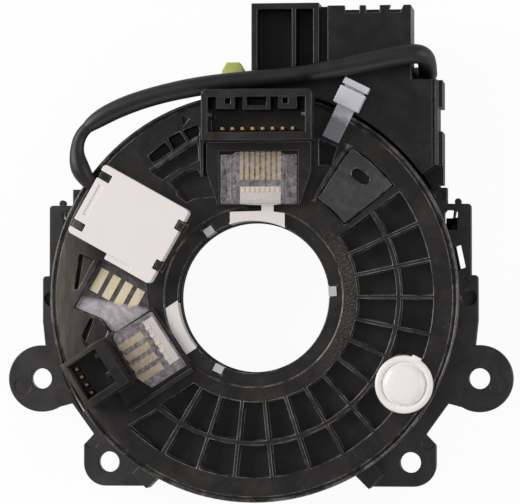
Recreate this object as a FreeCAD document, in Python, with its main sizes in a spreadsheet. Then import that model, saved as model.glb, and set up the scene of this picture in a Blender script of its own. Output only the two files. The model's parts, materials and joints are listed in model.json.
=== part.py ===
import FreeCAD, Part
import math
import os
import re

import Sketcher

# Steering clock spring, in millimetres.
# The origin is on the axis of the bore, in the plane of the back cover. +Z points along the steering
# axis towards the steering wheel, +Y towards the connector tower, +X to the right seen from the wheel.
#
# The stator is screwed to the steering column by four ears. The rotor turns with the steering wheel
# and winds a flat ribbon cable inside the cassette between the two.


# Driving dimensions

SIZES = {
    # Cassette, levels measured from the back plane
    "rear_cover_thickness": 2.0,
    "rear_rib_height": 1.2,
    "rear_rib_width": 1.4,
    "cassette_radius": 52.0,
    "cassette_wall": 2.0,
    "cassette_top": 21.2,
    "slide_sheet_thickness": 0.4,
    # Side plate with its ears and brackets
    "plate_back": 9.0,
    "plate_thickness": 3.5,
    "shoulder_x": 50.2,
    "shoulder_y": 29.2,
    "bracket_x": 56.5,
    "bracket_top": 24.9,
    "bracket_bottom": 6.0,
    "cheek_x": 58.3,
    "cheek_bottom": -6.0,
    "dimple_x": 55.7,
    "dimple_radius": 2.0,
    "dimple_depth": 1.2,
    "bracket_pin_x": 53.0,
    "bracket_pin_radius": 0.9,
    "bracket_pin_length": 1.45,
    "outer_corner": 0.9,
    "ear_hole_radius": 2.75,
    "mark_radius": 2.3,
    "mark_depth": 0.15,
    "mark_offset": 5.1,
    "upper_ear_x": 58.6,
    "upper_ear_y": -21.4,
    "upper_ear_radius": 8.9,
    "lower_ear_x": 40.3,
    "lower_ear_y": -43.6,
    "lower_ear_edge_x": 47.1,
    "lower_ear_bottom": -50.0,
    "lower_ear_corner": 6.0,
    "lower_post_x": 29.6,
    "lower_post_y": -46.6,
    "lower_post_side": 5.6,
    "lower_post_height": 4.5,
    "slot_outer": 56.4,
    "slot_start": 200.5,
    "slot_stop": 212.5,
    # Connector tower
    "tower_left": -0.6,
    "tower_right": 41.5,
    "tower_top": 77.3,
    "tower_front": 26.0,
    "tower_step": 0.8,
    "shroud_right": 17.3,
    "tower_wall": 1.6,
    "channel_divider": 1.1,
    "channel_split": 10.1,
    "channel_depth": 8.0,
    "channel_bottom": 57.5,
    "strip_right": 19.5,
    "strip_depth": 3.0,
    "socket_left": 21.4,
    "socket_back": 14.6,
    "socket_wall": 2.0,
    "socket_depth": 14.0,
    "key_depth": 2.0,
    "block_right": 48.3,
    "block_top": 56.9,
    "block_bottom": 29.4,
    "block_strip": 1.3,
    "block_strip_front": 23.0,
    "block_step_depth": 7.0,
    "ridge_width": 0.6,
    "tower_pin_level": 18.2,
    "tower_pin_side": 0.8,
    "tower_pin_length": 9.0,
    "tower_pin_pitch": 2.6,
    "tower_pin_first": 24.2,
    # Rotor disc
    "bore_radius": 19.65,
    "column_step": 2.65,
    "hub_back": 17.5,
    "collar_width": 3.95,
    "collar_lip": 0.8,
    "face_bore_step": 0.25,
    "face_front": 27.0,
    "face_thickness": 5.5,
    "pocket_depth": 4.0,
    "rim_radius": 53.8,
    "rim_groove_radius": 52.4,
    "rim_lip": 0.6,
    "rim_groove_depth": 0.8,
    "rim_skirt": 1.6,
    "rim_skirt_wall": 1.2,
    "shoulder_radius": 47.2,
    "inner_cell_inner": 27.5,
    "mid_wall_radius": 38.2,
    "mid_wall": 1.3,
    "rib_width": 1.0,
    "cell_pitch": 12.0,
    "cell_start": 240.0,
    "cut_cell_inner": 235.2,
    "cut_cell_middle": 229.1,
    "cut_cell_outer": 225.7,
    "running_gap": 0.3,
    "tower_clearance": 0.8,
    # Rotor sleeve and its latches
    "sleeve_wall": 1.6,
    "sleeve_snap": 1.0,
    "sleeve_snap_height": 1.4,
    "latch_width": 2.6,
    "latch_reach": 2.3,
    "latch_inset": 0.2,
    "latch_gap": 0.2,
    "latch_first": 4.0,
    # Ribbon coil
    "ribbon_thickness": 0.4,
    "ribbon_turns": 7,
    "ribbon_inner_gap": 0.7,
    "ribbon_outer_gap": 2.0,
    "ribbon_height": 17.0,
    # White cover plate, placed by the polar place of its centre
    "lid_centre_radius": 37.8,
    "lid_angle": 149.0,
    "lid_turn": 150.8,
    "lid_outer": 13.0,
    "lid_inner": 12.8,
    "lid_upper": 10.5,
    "lid_lower": 9.8,
    "lid_step": 1.6,
    "lid_step_place": 1.0,
    "lid_height": 5.0,
    "lid_wall": 1.0,
    "lid_corner": 1.1,
    "lid_lip_drop": 0.6,
    "lid_outer_notch": 3.5,
    "lid_outer_notch_half": 1.05,
    "lid_inner_notch": 1.5,
    "lid_inner_notch_half": 1.35,
    "lid_post_gap": 0.25,
    "lid_groove_start": 10.3,
    "lid_groove_width": 1.3,
    "lid_groove_depth": 0.25,
    # Contact window under the lid's lower edge, in the lid's own directions
    "contact_first": 0.1,
    "contact_pitch": 3.64,
    "contact_width": 2.3,
    "contact_length": 6.6,
    "contact_thickness": 0.4,
    "contact_place": 17.3,
    "window_outer": 2.4,
    "window_upper": 12.2,
    "window_lower": 26.7,
    "window_edge_reach": 11.2,
    "window_shoulder_reach": 13.6,
    "window_shoulder_drop": 15.6,
    "window_side_reach": 16.6,
    "window_side_drop": 19.2,
    "window_foot_reach": 17.0,
    "window_foot_drop": 22.6,
    "window_tip_reach": 9.5,
    "window_tip_drop": 27.7,
    "window_waist_reach": 5.5,
    "window_waist_drop": 25.8,
    "window_depth": 2.0,
    "film_thickness": 0.4,
    "film_clearance": 0.2,
    # Top connector and its joint
    "top_centre": 2.1,
    "top_half": 14.4,
    "top_inner": 40.5,
    "top_depth": 13.2,
    "top_wall": 1.7,
    "top_front": 39.0,
    "top_floor": 31.0,
    "top_corner": 1.2,
    "top_key_width": 5.0,
    "top_key_place": 8.1,
    "top_key_reach": 3.1,
    "top_key_hole": 1.4,
    "top_rib_width": 1.1,
    "top_rib_place": 3.1,
    "top_rib_reach": 2.2,
    "top_bar_reach": 1.1,
    "top_nub": 1.0,
    "top_pin_pitch": 2.63,
    "top_strip_pitch": 1.42,
    "pin_side": 0.7,
    "pin_gap": 0.15,
    "pin_front": 36.4,
    "foot_width": 0.9,
    "foot_thickness": 0.5,
    "tray_thickness": 1.4,
    "tray_reach": 4.35,
    "tray_centre": 1.8,
    "tray_half_top": 13.8,
    "tray_half_bottom": 10.9,
    "tray_taper": 7.6,
    "tray_inner_half": 10.3,
    "tray_wall_height": 3.4,
    "shoulder_bar": 2.4,
    "top_strip_length": 9.8,
    "joint_cover_gap": 0.3,
    "joint_cover_thickness": 0.8,
    "top_cover_step": 0.9,
    "top_cover_box_half": 7.25,
    "top_cover_box_corner": 1.3,
    "top_cover_box_rise": 1.3,
    "guide_rib_rise": 1.3,
    "guide_rib_drop": 9.2,
    "guide_rib_gap": 0.4,
    "guide_rib_width": 1.1,
    "guide_rib_height": 4.0,
    "flat_thickness": 0.4,
    "top_flat_half": 5.35,
    "top_flat_gap": 1.8,
    "top_neck_shift": 1.9,
    "top_neck_half": 1.6,
    "top_tail_shift": 0.8,
    "top_fold_half": 7.2,
    "top_tail_reach": 2.65,
    "fold_clearance": 0.3,
    "fold_gap": 0.15,
    "top_fold_start": 65.6,
    "top_fold_stop": 107.6,
    # Side connector and its joint, in its own directions: outward and across
    "side_turn": 213.0,
    "side_box_inner": 38.4,
    "side_box_depth": 12.8,
    "side_box_low": -11.8,
    "side_box_high": 1.6,
    "side_mouth_wall_inner": 2.8,
    "side_mouth_wall_outer": 1.4,
    "side_mouth_low": -10.5,
    "side_mouth_high": -0.3,
    "side_front": 38.0,
    "side_floor": 31.0,
    "side_tray_reach": 3.75,
    "side_tray_low": -12.0,
    "side_tray_high": 8.0,
    "side_wing_reach": 4.8,
    "side_tray_thickness": 1.4,
    "side_pin_first": -9.0,
    "side_pin_pitch": 2.4,
    "side_pin_margin": 2.6,
    "side_pin_front": 33.4,
    "side_strip_first": -7.6,
    "side_strip_pitch": 3.2,
    "side_strip_width": 1.9,
    "side_strip_reach": 6.2,
    "side_cover_step": 0.8,
    "side_cover_margin": 1.8,
    "side_cover_high": 5.6,
    "link_step": 1.5,
    "link_width": 3.0,
    "link_low": -10.2,
    "link_high": 3.0,
    "side_flat_low": -10.2,
    "side_flat_high": 3.0,
    "side_fold_start": -29.0,
    "side_fold_stop": 7.0,
    # Sector cover
    "sector_inner": 30.8,
    "sector_outer": 46.8,
    "sector_start": 38.4,
    "sector_stop": 56.4,
    "sector_rise": 0.8,
    "sector_recess": 1.2,
    "sector_gap": 0.25,
    "oval_place": 42.3,
    "oval_angle": 48.0,
    "oval_half": 1.2,
    "oval_radius": 1.35,
    "oval_rim": 0.35,
    "oval_rim_height": 0.35,
    "oval_turn": -38.0,
    "sector_corner": 0.7,
    # Round plug
    "plug_place": 45.7,
    "plug_angle": 330.0,
    "plug_radius": 7.6,
    "plug_rim_height": 1.2,
    "plug_disc_radius": 5.5,
    "plug_disc_height": 2.0,
    "plug_stem_radius": 4.6,
    "plug_stem_length": 2.6,
    "plug_boss_radius": 7.9,
    "plug_fit": 0.15,
    "plug_nub": 2.6,
    # Transport clip, along its own radial line
    "clip_angle": 63.6,
    "clip_inner": 45.9,
    "clip_strip_half": 2.4,
    "clip_strip_height": 1.6,
    "clip_head_inner": 55.2,
    "clip_head_outer": 60.0,
    "clip_head_half": 3.6,
    "clip_head_height": 3.6,
    "clip_block_inner": 60.6,
    "clip_block_outer": 62.4,
    "clip_block_height": 2.6,
    "clip_seat": 0.3,
    "clip_peg_place": 48.6,
    "clip_peg_radius": 1.2,
    "clip_peg_length": 3.0,
    "clip_peg_fit": 0.2,
    # Lead and its plug
    "lead_diameter": 3.1,
    "lead_level": 29.8,
    "lead_sleeve_radius": 2.45,
    "lead_sleeve_fit": 0.1,
    "lead_groove_depth": 1.0,
    "lead_plug_left": -12.0,
    "lead_plug_right": -4.6,
    "lead_plug_low": 56.8,
    "lead_plug_high": 62.4,
    "lead_plug_back": 1.0,
    "lead_plug_front": 7.6,
}

doc = FreeCAD.newDocument("SteeringClockSpring")
sheet = doc.addObject("Spreadsheet::Sheet", "Sizes")
for row, (alias, size) in enumerate(SIZES.items(), start=1):
    sheet.set(f"A{row}", alias)
    sheet.set(f"B{row}", str(size))
    sheet.setAlias(f"B{row}", alias)
doc.recompute()

# Places that follow from others by a named distance

DERIVED = {
    "column_radius": "bore_radius + column_step",
    "collar_radius": "bore_radius + collar_width",
    "sleeve_radius": "column_radius + sleeve_wall",
    "snap_radius": "sleeve_radius + sleeve_snap",
    "rear_bore": "sleeve_radius + running_gap",
    "ribbon_inner": "snap_radius + ribbon_inner_gap",
    "ribbon_pitch": "(cassette_radius - cassette_wall - ribbon_outer_gap - ribbon_inner) / ribbon_turns",
    "top_outer": "top_inner + top_depth",
    "tray_bottom": "bore_radius + tray_reach",
    "tray_break": "top_inner - tray_taper",
    "top_strip_end": "top_inner - top_strip_length",
    "top_cover_bottom": "tray_bottom + joint_cover_gap",
    "top_cover_top": "top_inner - shoulder_bar - top_cover_step",
    "top_flat_top": "top_strip_end - top_flat_gap",
    "top_neck_top": "tray_bottom",
    "top_fold_top": "bore_radius + top_tail_reach",
    "side_box_outer": "side_box_inner + side_box_depth",
    "side_mouth_inner": "side_box_inner + side_mouth_wall_inner",
    "side_mouth_outer": "side_box_outer - side_mouth_wall_outer",
    "side_wing_outer": "side_box_inner + side_wing_reach",
    "side_pin_place": "side_box_outer - side_pin_margin",
    "side_tray_inner": "bore_radius + side_tray_reach",
    "side_strip_end": "side_tray_inner + side_strip_reach",
    "side_cover_inner": "side_tray_inner + side_cover_step",
    "side_cover_outer": "side_box_inner - side_cover_margin",
    "link_inner": "side_tray_inner + link_step",
    "link_outer": "link_inner + link_width",
}

FUNCTIONS = {"sin", "cos", "tan", "sqrt", "min", "max"}


# Helpers for sizes, sketches and features

def written_out(rule):
    """Put the rules of derived names in their place."""
    def put(word):
        name = word.group()
        return f"({written_out(DERIVED[name])})" if name in DERIVED else name
    return re.sub(r"[a-z]\w*", put, str(rule))


def bound(rule):
    """Write a rule of size names as an expression that reads the sheet."""
    def put(word):
        name = word.group()
        return name if name in FUNCTIONS else "Sizes." + name
    return re.sub(r"[a-z]\w*", put, written_out(rule))


def number(rule):
    """Work out the present value of a rule of size names."""
    return float(sheet.evalExpression(written_out(rule)))


def new_body(label, turn=None):
    """Start a body that carries its node's name, turned about the bore axis if asked."""
    body = doc.addObject("PartDesign::Body", label)
    body.Label = label
    if turn is not None:
        body.setExpression("Placement.Rotation.Angle", bound(turn))
    return body


def new_sketch(body, name, level, plane="XY_Plane"):
    """Attach a sketch to one of the body's own origin planes, lifted to a level."""
    drawn = body.newObject("Sketcher::SketchObject", name)
    own_plane = next(item for item in body.Origin.OriginFeatures if item.Role == plane)
    drawn.AttachmentSupport = [(own_plane, "")]
    drawn.MapMode = "FlatFace"
    drawn.setExpression("AttachmentOffset.Base.z", bound(level))
    return drawn


def fix_point(drawn, edge, end, place):
    """Hold an end of an edge at a place given by two rules."""
    for direction, rule in zip(("DistanceX", "DistanceY"), place):
        index = drawn.addConstraint(Sketcher.Constraint(direction, -1, 1, edge, end, number(rule)))
        drawn.setExpression(f"Constraints[{index}]", bound(rule))


def fix_radius(drawn, edge, radius):
    """Hold the radius of an arc or circle."""
    index = drawn.addConstraint(Sketcher.Constraint("Radius", edge, number(radius)))
    drawn.setExpression(f"Constraints[{index}]", bound(radius))


def polygon(*corners):
    """A closed loop of straight edges through the corners."""
    def draw(drawn):
        first = drawn.GeometryCount
        places = [FreeCAD.Vector(number(across), number(along), 0) for across, along in corners]
        for index, start in enumerate(places):
            stop = places[(index + 1) % len(places)]
            drawn.addGeometry(Part.LineSegment(start, stop), False)
        for index, corner in enumerate(corners):
            following = first + (index + 1) % len(corners)
            drawn.addConstraint(Sketcher.Constraint("Coincident", first + index, 2, following, 1))
            fix_point(drawn, first + index, 1, corner)
    return draw


def block(left, right, low, high):
    """A rectangle between two pairs of edges."""
    return polygon((left, low), (right, low), (right, high), (left, high))


def circle(across, along, radius):
    """A full circle."""
    def draw(drawn):
        centre = FreeCAD.Vector(number(across), number(along), 0)
        edge = drawn.addGeometry(Part.Circle(centre, FreeCAD.Vector(0, 0, 1), number(radius)), False)
        fix_point(drawn, edge, 3, (across, along))
        fix_radius(drawn, edge, radius)
    return draw


def bevelled_block(left, right, low, high, bevel):
    """A rectangle with its four corners cut off."""
    return polygon((f"{left} + {bevel}", low), (f"{right} - {bevel}", low), (right, f"{low} + {bevel}"),
                   (right, f"{high} - {bevel}"), (f"{right} - {bevel}", high), (f"{left} + {bevel}", high),
                   (left, f"{high} - {bevel}"), (left, f"{low} + {bevel}"))


def oval(centre, half, radius, turn):
    """A slot shape: two round ends, each drawn with six short edges, joined by straight sides."""
    corners = []
    for side, first in ((1, -90), (-1, 90)):
        for step in range(7):
            angle = f"({turn} + {first + 30 * step})"
            corners.append((f"{centre[0]} + {side} * ({half}) * cos({turn}) + ({radius}) * cos({angle})",
                            f"{centre[1]} + {side} * ({half}) * sin({turn}) + ({radius}) * sin({angle})"))
    return polygon(*corners)


def polar(radius, angle):
    """The two rules of a place given by radius and angle."""
    return f"({radius}) * cos({angle})", f"({radius}) * sin({angle})"


def sector(inner, outer, start, stop, inner_start=None, inner_stop=None):
    """A piece of a ring between two radii; the inner arc may have end angles of its own."""
    inner_start = inner_start or start
    inner_stop = inner_stop or stop

    def draw(drawn):
        spans = ((outer, start, stop), (inner, inner_start, inner_stop))
        arcs = []
        for radius, begin, end in spans:
            whole = Part.Circle(FreeCAD.Vector(0, 0, 0), FreeCAD.Vector(0, 0, 1), number(radius))
            arc = Part.ArcOfCircle(whole, math.radians(number(begin)), math.radians(number(end)))
            edge = drawn.addGeometry(arc, False)
            fix_radius(drawn, edge, radius)
            fix_point(drawn, edge, 1, polar(radius, begin))
            fix_point(drawn, edge, 2, polar(radius, end))
            arcs.append(edge)
        for end in (1, 2):
            places = [drawn.getPoint(edge, end) for edge in arcs]
            line = drawn.addGeometry(Part.LineSegment(*places), False)
            drawn.addConstraint(Sketcher.Constraint("Coincident", line, 1, arcs[0], end))
            drawn.addConstraint(Sketcher.Constraint("Coincident", line, 2, arcs[1], end))
    return draw


def add(body, name, bottom, top, *loops):
    """Pad loops from one level up to another."""
    drawn = new_sketch(body, name + "_sketch", bottom)
    for draw in loops:
        draw(drawn)
    made = body.newObject("PartDesign::Pad", name)
    made.Profile = drawn
    made.setExpression("Length", bound(f"({top}) - ({bottom})"))
    body.Tip = made
    return made


def cut(body, name, bottom, top, *loops):
    """Pocket loops from one level down to another."""
    drawn = new_sketch(body, name + "_sketch", top)
    for draw in loops:
        draw(drawn)
    made = body.newObject("PartDesign::Pocket", name)
    made.Profile = drawn
    made.setExpression("Length", bound(f"({top}) - ({bottom})"))
    body.Tip = made
    return made


def cut_from_top_edge(body, name, edge, depth, *loops):
    """Pocket loops, drawn in X and Z, from an edge level in Y down into the body."""
    drawn = new_sketch(body, name + "_sketch", f"-({edge})", "XZ_Plane")
    for draw in loops:
        draw(drawn)
    made = body.newObject("PartDesign::Pocket", name)
    made.Profile = drawn
    made.Reversed = True
    made.setExpression("Length", bound(depth))
    body.Tip = made
    return made


def turned(body, name, *corners):
    """Revolve a profile of radius and level about the bore axis."""
    drawn = new_sketch(body, name + "_sketch", "0", "XZ_Plane")
    polygon(*corners)(drawn)
    made = body.newObject("PartDesign::Revolution", name)
    made.Profile = drawn
    made.ReferenceAxis = (drawn, ["V_Axis"])
    made.Angle = 360
    body.Tip = made
    return made


def mirrored(body, name, *features):
    """Repeat features on the other side of the plane X = 0."""
    doc.recompute()
    made = body.newObject("PartDesign::Mirrored", name)
    made.Originals = list(features)
    own_plane = next(item for item in body.Origin.OriginFeatures if item.Role == "YZ_Plane")
    made.MirrorPlane = (own_plane, [""])
    body.Tip = made
    return made


def polar_row(body, name, feature, step, count):
    """Repeat a feature round the bore axis, a step of angle apart."""
    doc.recompute()
    made = body.newObject("PartDesign::PolarPattern", name)
    made.Originals = [feature]
    made.Axis = (feature.Profile[0], ["N_Axis"])
    made.setExpression("Angle", bound(f"({step}) * {count - 1}"))
    made.Occurrences = count
    body.Tip = made
    return made


def straight_row(body, name, feature, step, count, axis="H_Axis"):
    """Repeat a feature along an axis of its own sketch, a step apart."""
    doc.recompute()
    made = body.newObject("PartDesign::LinearPattern", name)
    made.Originals = [feature]
    made.Direction = (feature.Profile[0], [axis])
    made.setExpression("Length", bound(f"({step}) * {count - 1}"))
    made.Occurrences = count
    body.Tip = made
    return made


def round_corners(body, name, radius, *places):
    """Round the upright edges that stand at the given places."""
    doc.recompute()
    base = body.Tip
    wanted = [(number(across), number(along)) for across, along in places]
    chosen = []
    for index, edge in enumerate(base.Shape.Edges, start=1):
        ends = [vertex.Point for vertex in edge.Vertexes]
        if len(ends) != 2 or math.dist(ends[0][:2], ends[1][:2]) > 0.01:
            continue
        if any(math.dist(ends[0][:2], place) < 0.05 for place in wanted):
            chosen.append(f"Edge{index}")
    made = body.newObject("PartDesign::Fillet", name)
    made.Base = (base, chosen)
    made.setExpression("Radius", bound(radius))
    body.Tip = made
    return made


# Levels that several pieces share

PLATE_FRONT = "plate_back + plate_thickness"
FACE_BACK = "face_front - face_thickness"
FACE_BORE = "bore_radius + face_bore_step"
POCKET_FLOOR = "face_front - pocket_depth"
WINDOW_FLOOR = "face_front - window_depth"
RECESS_FLOOR = "face_front - sector_recess"
RIM_CLEARANCE = "rim_radius + tower_clearance"
LATCH_RADIUS = "bore_radius + latch_reach"
FOLD_INNER = "bore_radius + fold_clearance"
FOLD_OUTER = "bore_radius + fold_clearance + flat_thickness"
FOOT_BACK = "face_front + tray_thickness"
SIDE_FOOT_BACK = "face_front + side_tray_thickness"
LID_X = "lid_centre_radius * cos(lid_angle - lid_turn)"
LID_Y = "lid_centre_radius * sin(lid_angle - lid_turn)"

CELLS = 13
PINS = 8
SIDE_PINS = 4
CONTACTS = 4
TOWER_PINS = 6
LATCHES = 3
SLEEVE_FIRST_RUN = 8


# Stator: the cassette with its side plate, ears and brackets

def make_rear_cover():
    """Flat ring that closes the cassette at the back, with ring and spoke ribs inside."""
    body = new_body("rear_cover")
    turned(body, "cover_disc", ("rear_bore", "0"), ("cassette_radius", "0"),
           ("cassette_radius", "rear_cover_thickness"), ("rear_bore", "rear_cover_thickness"))
    recess = cut(body, "back_recess", "0", "rear_rib_height",
                 sector("rear_bore + 2 * rear_rib_width", "cassette_radius - 2 * rear_rib_width",
                        "rear_rib_width", "60 - rear_rib_width"))
    polar_row(body, "back_recesses", recess, "60", 6)
    return body


def make_slide_sheet():
    """Thin ring on the rear cover that the ribbon slides on."""
    body = new_body("slide_sheet")
    turned(body, "sheet_ring",
           ("snap_radius + running_gap", "rear_cover_thickness"),
           ("cassette_radius - cassette_wall - running_gap", "rear_cover_thickness"),
           ("cassette_radius - cassette_wall - running_gap", "rear_cover_thickness + slide_sheet_thickness"),
           ("snap_radius + running_gap", "rear_cover_thickness + slide_sheet_thickness"))
    return body


def make_stator_housing():
    """Cassette wall and the side plate with four ears, two side brackets and the tower's seat."""
    body = new_body("stator_housing")
    inner = "cassette_radius - cassette_wall"
    turned(body, "cassette_wall_ring", (inner, "rear_cover_thickness"),
           ("cassette_radius", "rear_cover_thickness"), ("cassette_radius", "cassette_top"),
           (inner, "cassette_top"))

    # Half of the side plate, from the shoulder above the bracket down to the post of the lower ear.
    plate = add(body, "side_plate", "plate_back", PLATE_FRONT, polygon(
        ("shoulder_x - 9", "shoulder_y"), ("shoulder_x", "shoulder_y"), ("shoulder_x", "bracket_top"),
        ("bracket_x", "bracket_top"), ("bracket_x", "bracket_bottom"), ("cheek_x", "bracket_bottom"),
        ("cheek_x", "cheek_bottom"), ("upper_ear_x - 1", "upper_ear_y + upper_ear_radius"),
        ("upper_ear_x", "upper_ear_y"), ("upper_ear_x - 2", "upper_ear_y - upper_ear_radius + 0.6"),
        ("50.3", "-28"), ("44.4", "-36.2"),
        ("lower_ear_edge_x", "-39"), ("lower_ear_edge_x", "lower_ear_bottom"),
        ("lower_post_x", "lower_ear_bottom"), ("lower_post_x - 6", "lower_ear_bottom + 7"),
        ("lower_post_x - 6", "-38"), ("35.5", "-33"), ("46.2", "-15"), ("48.4", "6")))
    ear = add(body, "upper_ear", "plate_back", PLATE_FRONT,
              circle("upper_ear_x", "upper_ear_y", "upper_ear_radius"))
    pin = add(body, "bracket_pin", "plate_back + 1", PLATE_FRONT,
              circle("bracket_pin_x", "bracket_top + bracket_pin_length - bracket_pin_radius",
                     "bracket_pin_radius"))
    half = "lower_post_side / 2 * sqrt(2)"
    post = add(body, "lower_post", "plate_back", PLATE_FRONT + " + lower_post_height", polygon(
        ("lower_post_x - " + half, "lower_post_y"), ("lower_post_x", "lower_post_y - " + half),
        ("lower_post_x + " + half, "lower_post_y"), ("lower_post_x", "lower_post_y + " + half)))
    mirrored(body, "other_side", plate, ear, pin, post)

    add(body, "tower_seat", "plate_back", PLATE_FRONT, polygon(
        ("tower_left", "cassette_radius - 4"), ("shoulder_x - 9", "shoulder_y - 1"),
        ("shoulder_x", "shoulder_y - 1"), ("shoulder_x", "shoulder_y"), ("block_right", "shoulder_y"),
        ("block_right", "block_top"), ("tower_right", "block_top"), ("tower_right", "block_top + 3"),
        ("tower_left", "block_top + 3")))
    cut(body, "cassette_space", "rear_cover_thickness", "cassette_top", circle("0", "0", inner))

    # Windows of the brackets, the deep pockets beside them, dimples and round ejector marks
    windows = cut(body, "bracket_windows", "plate_back", PLATE_FRONT,
                  polygon(("49.5", "18"), ("50", "18"), ("50", "20.9"), ("51.6", "20.9"), ("51.9", "23.2"),
                          ("50.2", "23.3"), ("49.5", "22.5")),
                  polygon(("52.2", "21.2"), ("52.9", "21.2"), ("52.9", "22.9"), ("52.5", "22.9")),
                  polygon(("52.4", "13.6"), ("53.7", "14.1"), ("55", "8"), ("53.6", "7.6")))
    pockets = cut(body, "bracket_pockets", PLATE_FRONT + " - 2.9", PLATE_FRONT,
                  block("50.1", "52.6", "18", "20.8"),
                  polygon(("51.2", "13.3"), ("52.3", "13.6"), ("53.5", "7.6"), ("52.3", "7.6")))
    dimple = cut(body, "cheek_dimple", PLATE_FRONT + " - dimple_depth", PLATE_FRONT,
                 circle("dimple_x", "0", "dimple_radius"))
    marks = cut(body, "ejector_marks", PLATE_FRONT + " - mark_depth", PLATE_FRONT,
                circle("54.5", "4.2", "mark_radius - 1"), circle("48.2", "27.2", "mark_radius - 1"),
                circle("upper_ear_x + mark_offset", "upper_ear_y - 1.9", "mark_radius"),
                circle("lower_ear_x + 4.6", "lower_ear_y + 5.2", "mark_radius - 0.6"))
    mirrored(body, "other_windows", windows, pockets, dimple, marks)
    cut(body, "ear_holes", "plate_back", PLATE_FRONT,
        *(circle(f"{side} * {ear_x}", ear_y, "ear_hole_radius")
          for side in (-1, 1)
          for ear_x, ear_y in (("upper_ear_x", "upper_ear_y"), ("lower_ear_x", "lower_ear_y"))))
    cut(body, "rim_slots", "plate_back", PLATE_FRONT,
        sector("cassette_radius", "slot_outer", "slot_start", "slot_stop - 7"),
        sector("cassette_radius", "slot_outer", "slot_stop - 6", "slot_stop"))
    round_corners(body, "ear_corners", "lower_ear_corner",
                  ("lower_ear_edge_x", "lower_ear_bottom"), ("-lower_ear_edge_x", "lower_ear_bottom"))
    round_corners(body, "outer_corners", "outer_corner",
                  *((f"{side} * {across}", along) for side in (-1, 1)
                    for across, along in (("bracket_x", "bracket_top"), ("cheek_x", "bracket_bottom"))))
    return body


# Stator: the connector tower

def make_connector_tower():
    """Tower with two open channels on the left and a keyed socket that opens upwards on the right."""
    body = new_body("connector_tower")
    add(body, "tower_block", PLATE_FRONT, "tower_front", polygon(
        ("tower_left", "cassette_radius - 4"), ("shoulder_x - 9", "block_bottom - 4"),
        ("block_right", "block_bottom"), ("block_right", "block_top"), ("tower_right", "block_top"),
        ("tower_right", "tower_top - tower_step"), ("shroud_right", "tower_top - tower_step"),
        ("shroud_right", "tower_top"), ("tower_left", "tower_top")))
    add(body, "edge_strips", PLATE_FRONT, "block_strip_front",
        block("block_right", "block_right + block_strip", "block_top - 7.2", "block_top"),
        block("block_right", "block_right + block_strip", "block_bottom + 0.2", "block_top - 13.5"))
    cut(body, "rim_space", PLATE_FRONT, "tower_front", circle("0", "0", RIM_CLEARANCE))

    channel_floor = "tower_front - channel_depth"
    channel_top = "tower_top - tower_wall"
    cut(body, "open_channels", channel_floor, "tower_front",
        block("tower_left + tower_wall", "channel_split", "channel_bottom", channel_top),
        block("channel_split + channel_divider", "shroud_right - tower_wall", "channel_bottom", channel_top))
    cut(body, "recessed_strip", "tower_front - strip_depth", "tower_front",
        block("shroud_right", "strip_right", "channel_bottom", "tower_top"))

    socket_edge = "tower_top - tower_step"
    cut_from_top_edge(body, "socket", socket_edge, "socket_depth",
                      block("socket_left", "tower_right - tower_wall", "socket_back",
                            "tower_front - socket_wall"))
    key_low = socket_edge + " - key_depth"
    cut(body, "key_notches", "tower_front - socket_wall", "tower_front",
        block("24.1", "27.9", key_low, "tower_top"), block("29.6", "33.2", key_low, "tower_top"),
        polygon(("35.3", key_low), ("38.6", key_low), ("39.8", "tower_top"), ("36.5", "tower_top")))
    cut(body, "block_step", "tower_front - block_step_depth", "tower_front", polygon(
        ("block_right - 0.9", "34.4"), ("40", "29.1"), ("40", "24"), ("block_right + 3", "24"),
        ("block_right + 3", "34.4")))
    cut(body, "ridge_line", "tower_front - ridge_width", "tower_front",
        block("block_right - 1.3", "block_right - 1.3 + ridge_width", "34.4", "block_top"))
    return body


def make_tower_pin(index):
    """One pin on the floor of the tower's socket, pointing out of its mouth."""
    body = new_body(f"tower_pin_{index + 1}")
    centre = f"tower_pin_first + {index} * tower_pin_pitch"
    level = "tower_pin_level"
    floor = "tower_top - tower_step - socket_depth"
    add(body, f"tower_pin_{index + 1}_pad", level + " - tower_pin_side / 2", level + " + tower_pin_side / 2",
        polygon((centre + " - tower_pin_side / 2", floor), (centre + " + tower_pin_side / 2", floor),
                (centre + " + tower_pin_side / 2", floor + " + tower_pin_length"),
                (centre + " + tower_pin_side / 6", floor + " + tower_pin_length + tower_pin_side"),
                (centre + " - tower_pin_side / 6", floor + " + tower_pin_length + tower_pin_side"),
                (centre + " - tower_pin_side / 2", floor + " + tower_pin_length")))
    return body


# Rotor: the ribbed face, the sleeve and its latches

def lid_place(outward, across):
    """A place given in the cover plate's own directions, in the directions of the part."""
    along = f"({LID_X} + ({outward}))"
    aside = f"({LID_Y} + ({across}))"
    return (f"{along} * cos(lid_turn) - {aside} * sin(lid_turn)",
            f"{along} * sin(lid_turn) + {aside} * cos(lid_turn)")


def window_corners(inset):
    """Outline of the contact window in the cover plate's own directions, pulled in by an inset."""
    return ((f"window_outer - {inset}", f"window_upper + {inset}"),
            (f"-window_edge_reach + {inset}", f"window_upper + {inset}"),
            (f"-window_shoulder_reach + {inset}", f"window_shoulder_drop + {inset}"),
            (f"-window_side_reach + {inset}", "window_side_drop"),
            (f"-window_foot_reach + {inset}", f"window_foot_drop - {inset}"),
            ("-window_tip_reach", f"window_tip_drop - 1.5 * {inset}"),
            ("-window_waist_reach", f"window_waist_drop - {inset}"),
            (f"window_outer - {inset}", f"window_lower - {inset}"))


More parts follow.
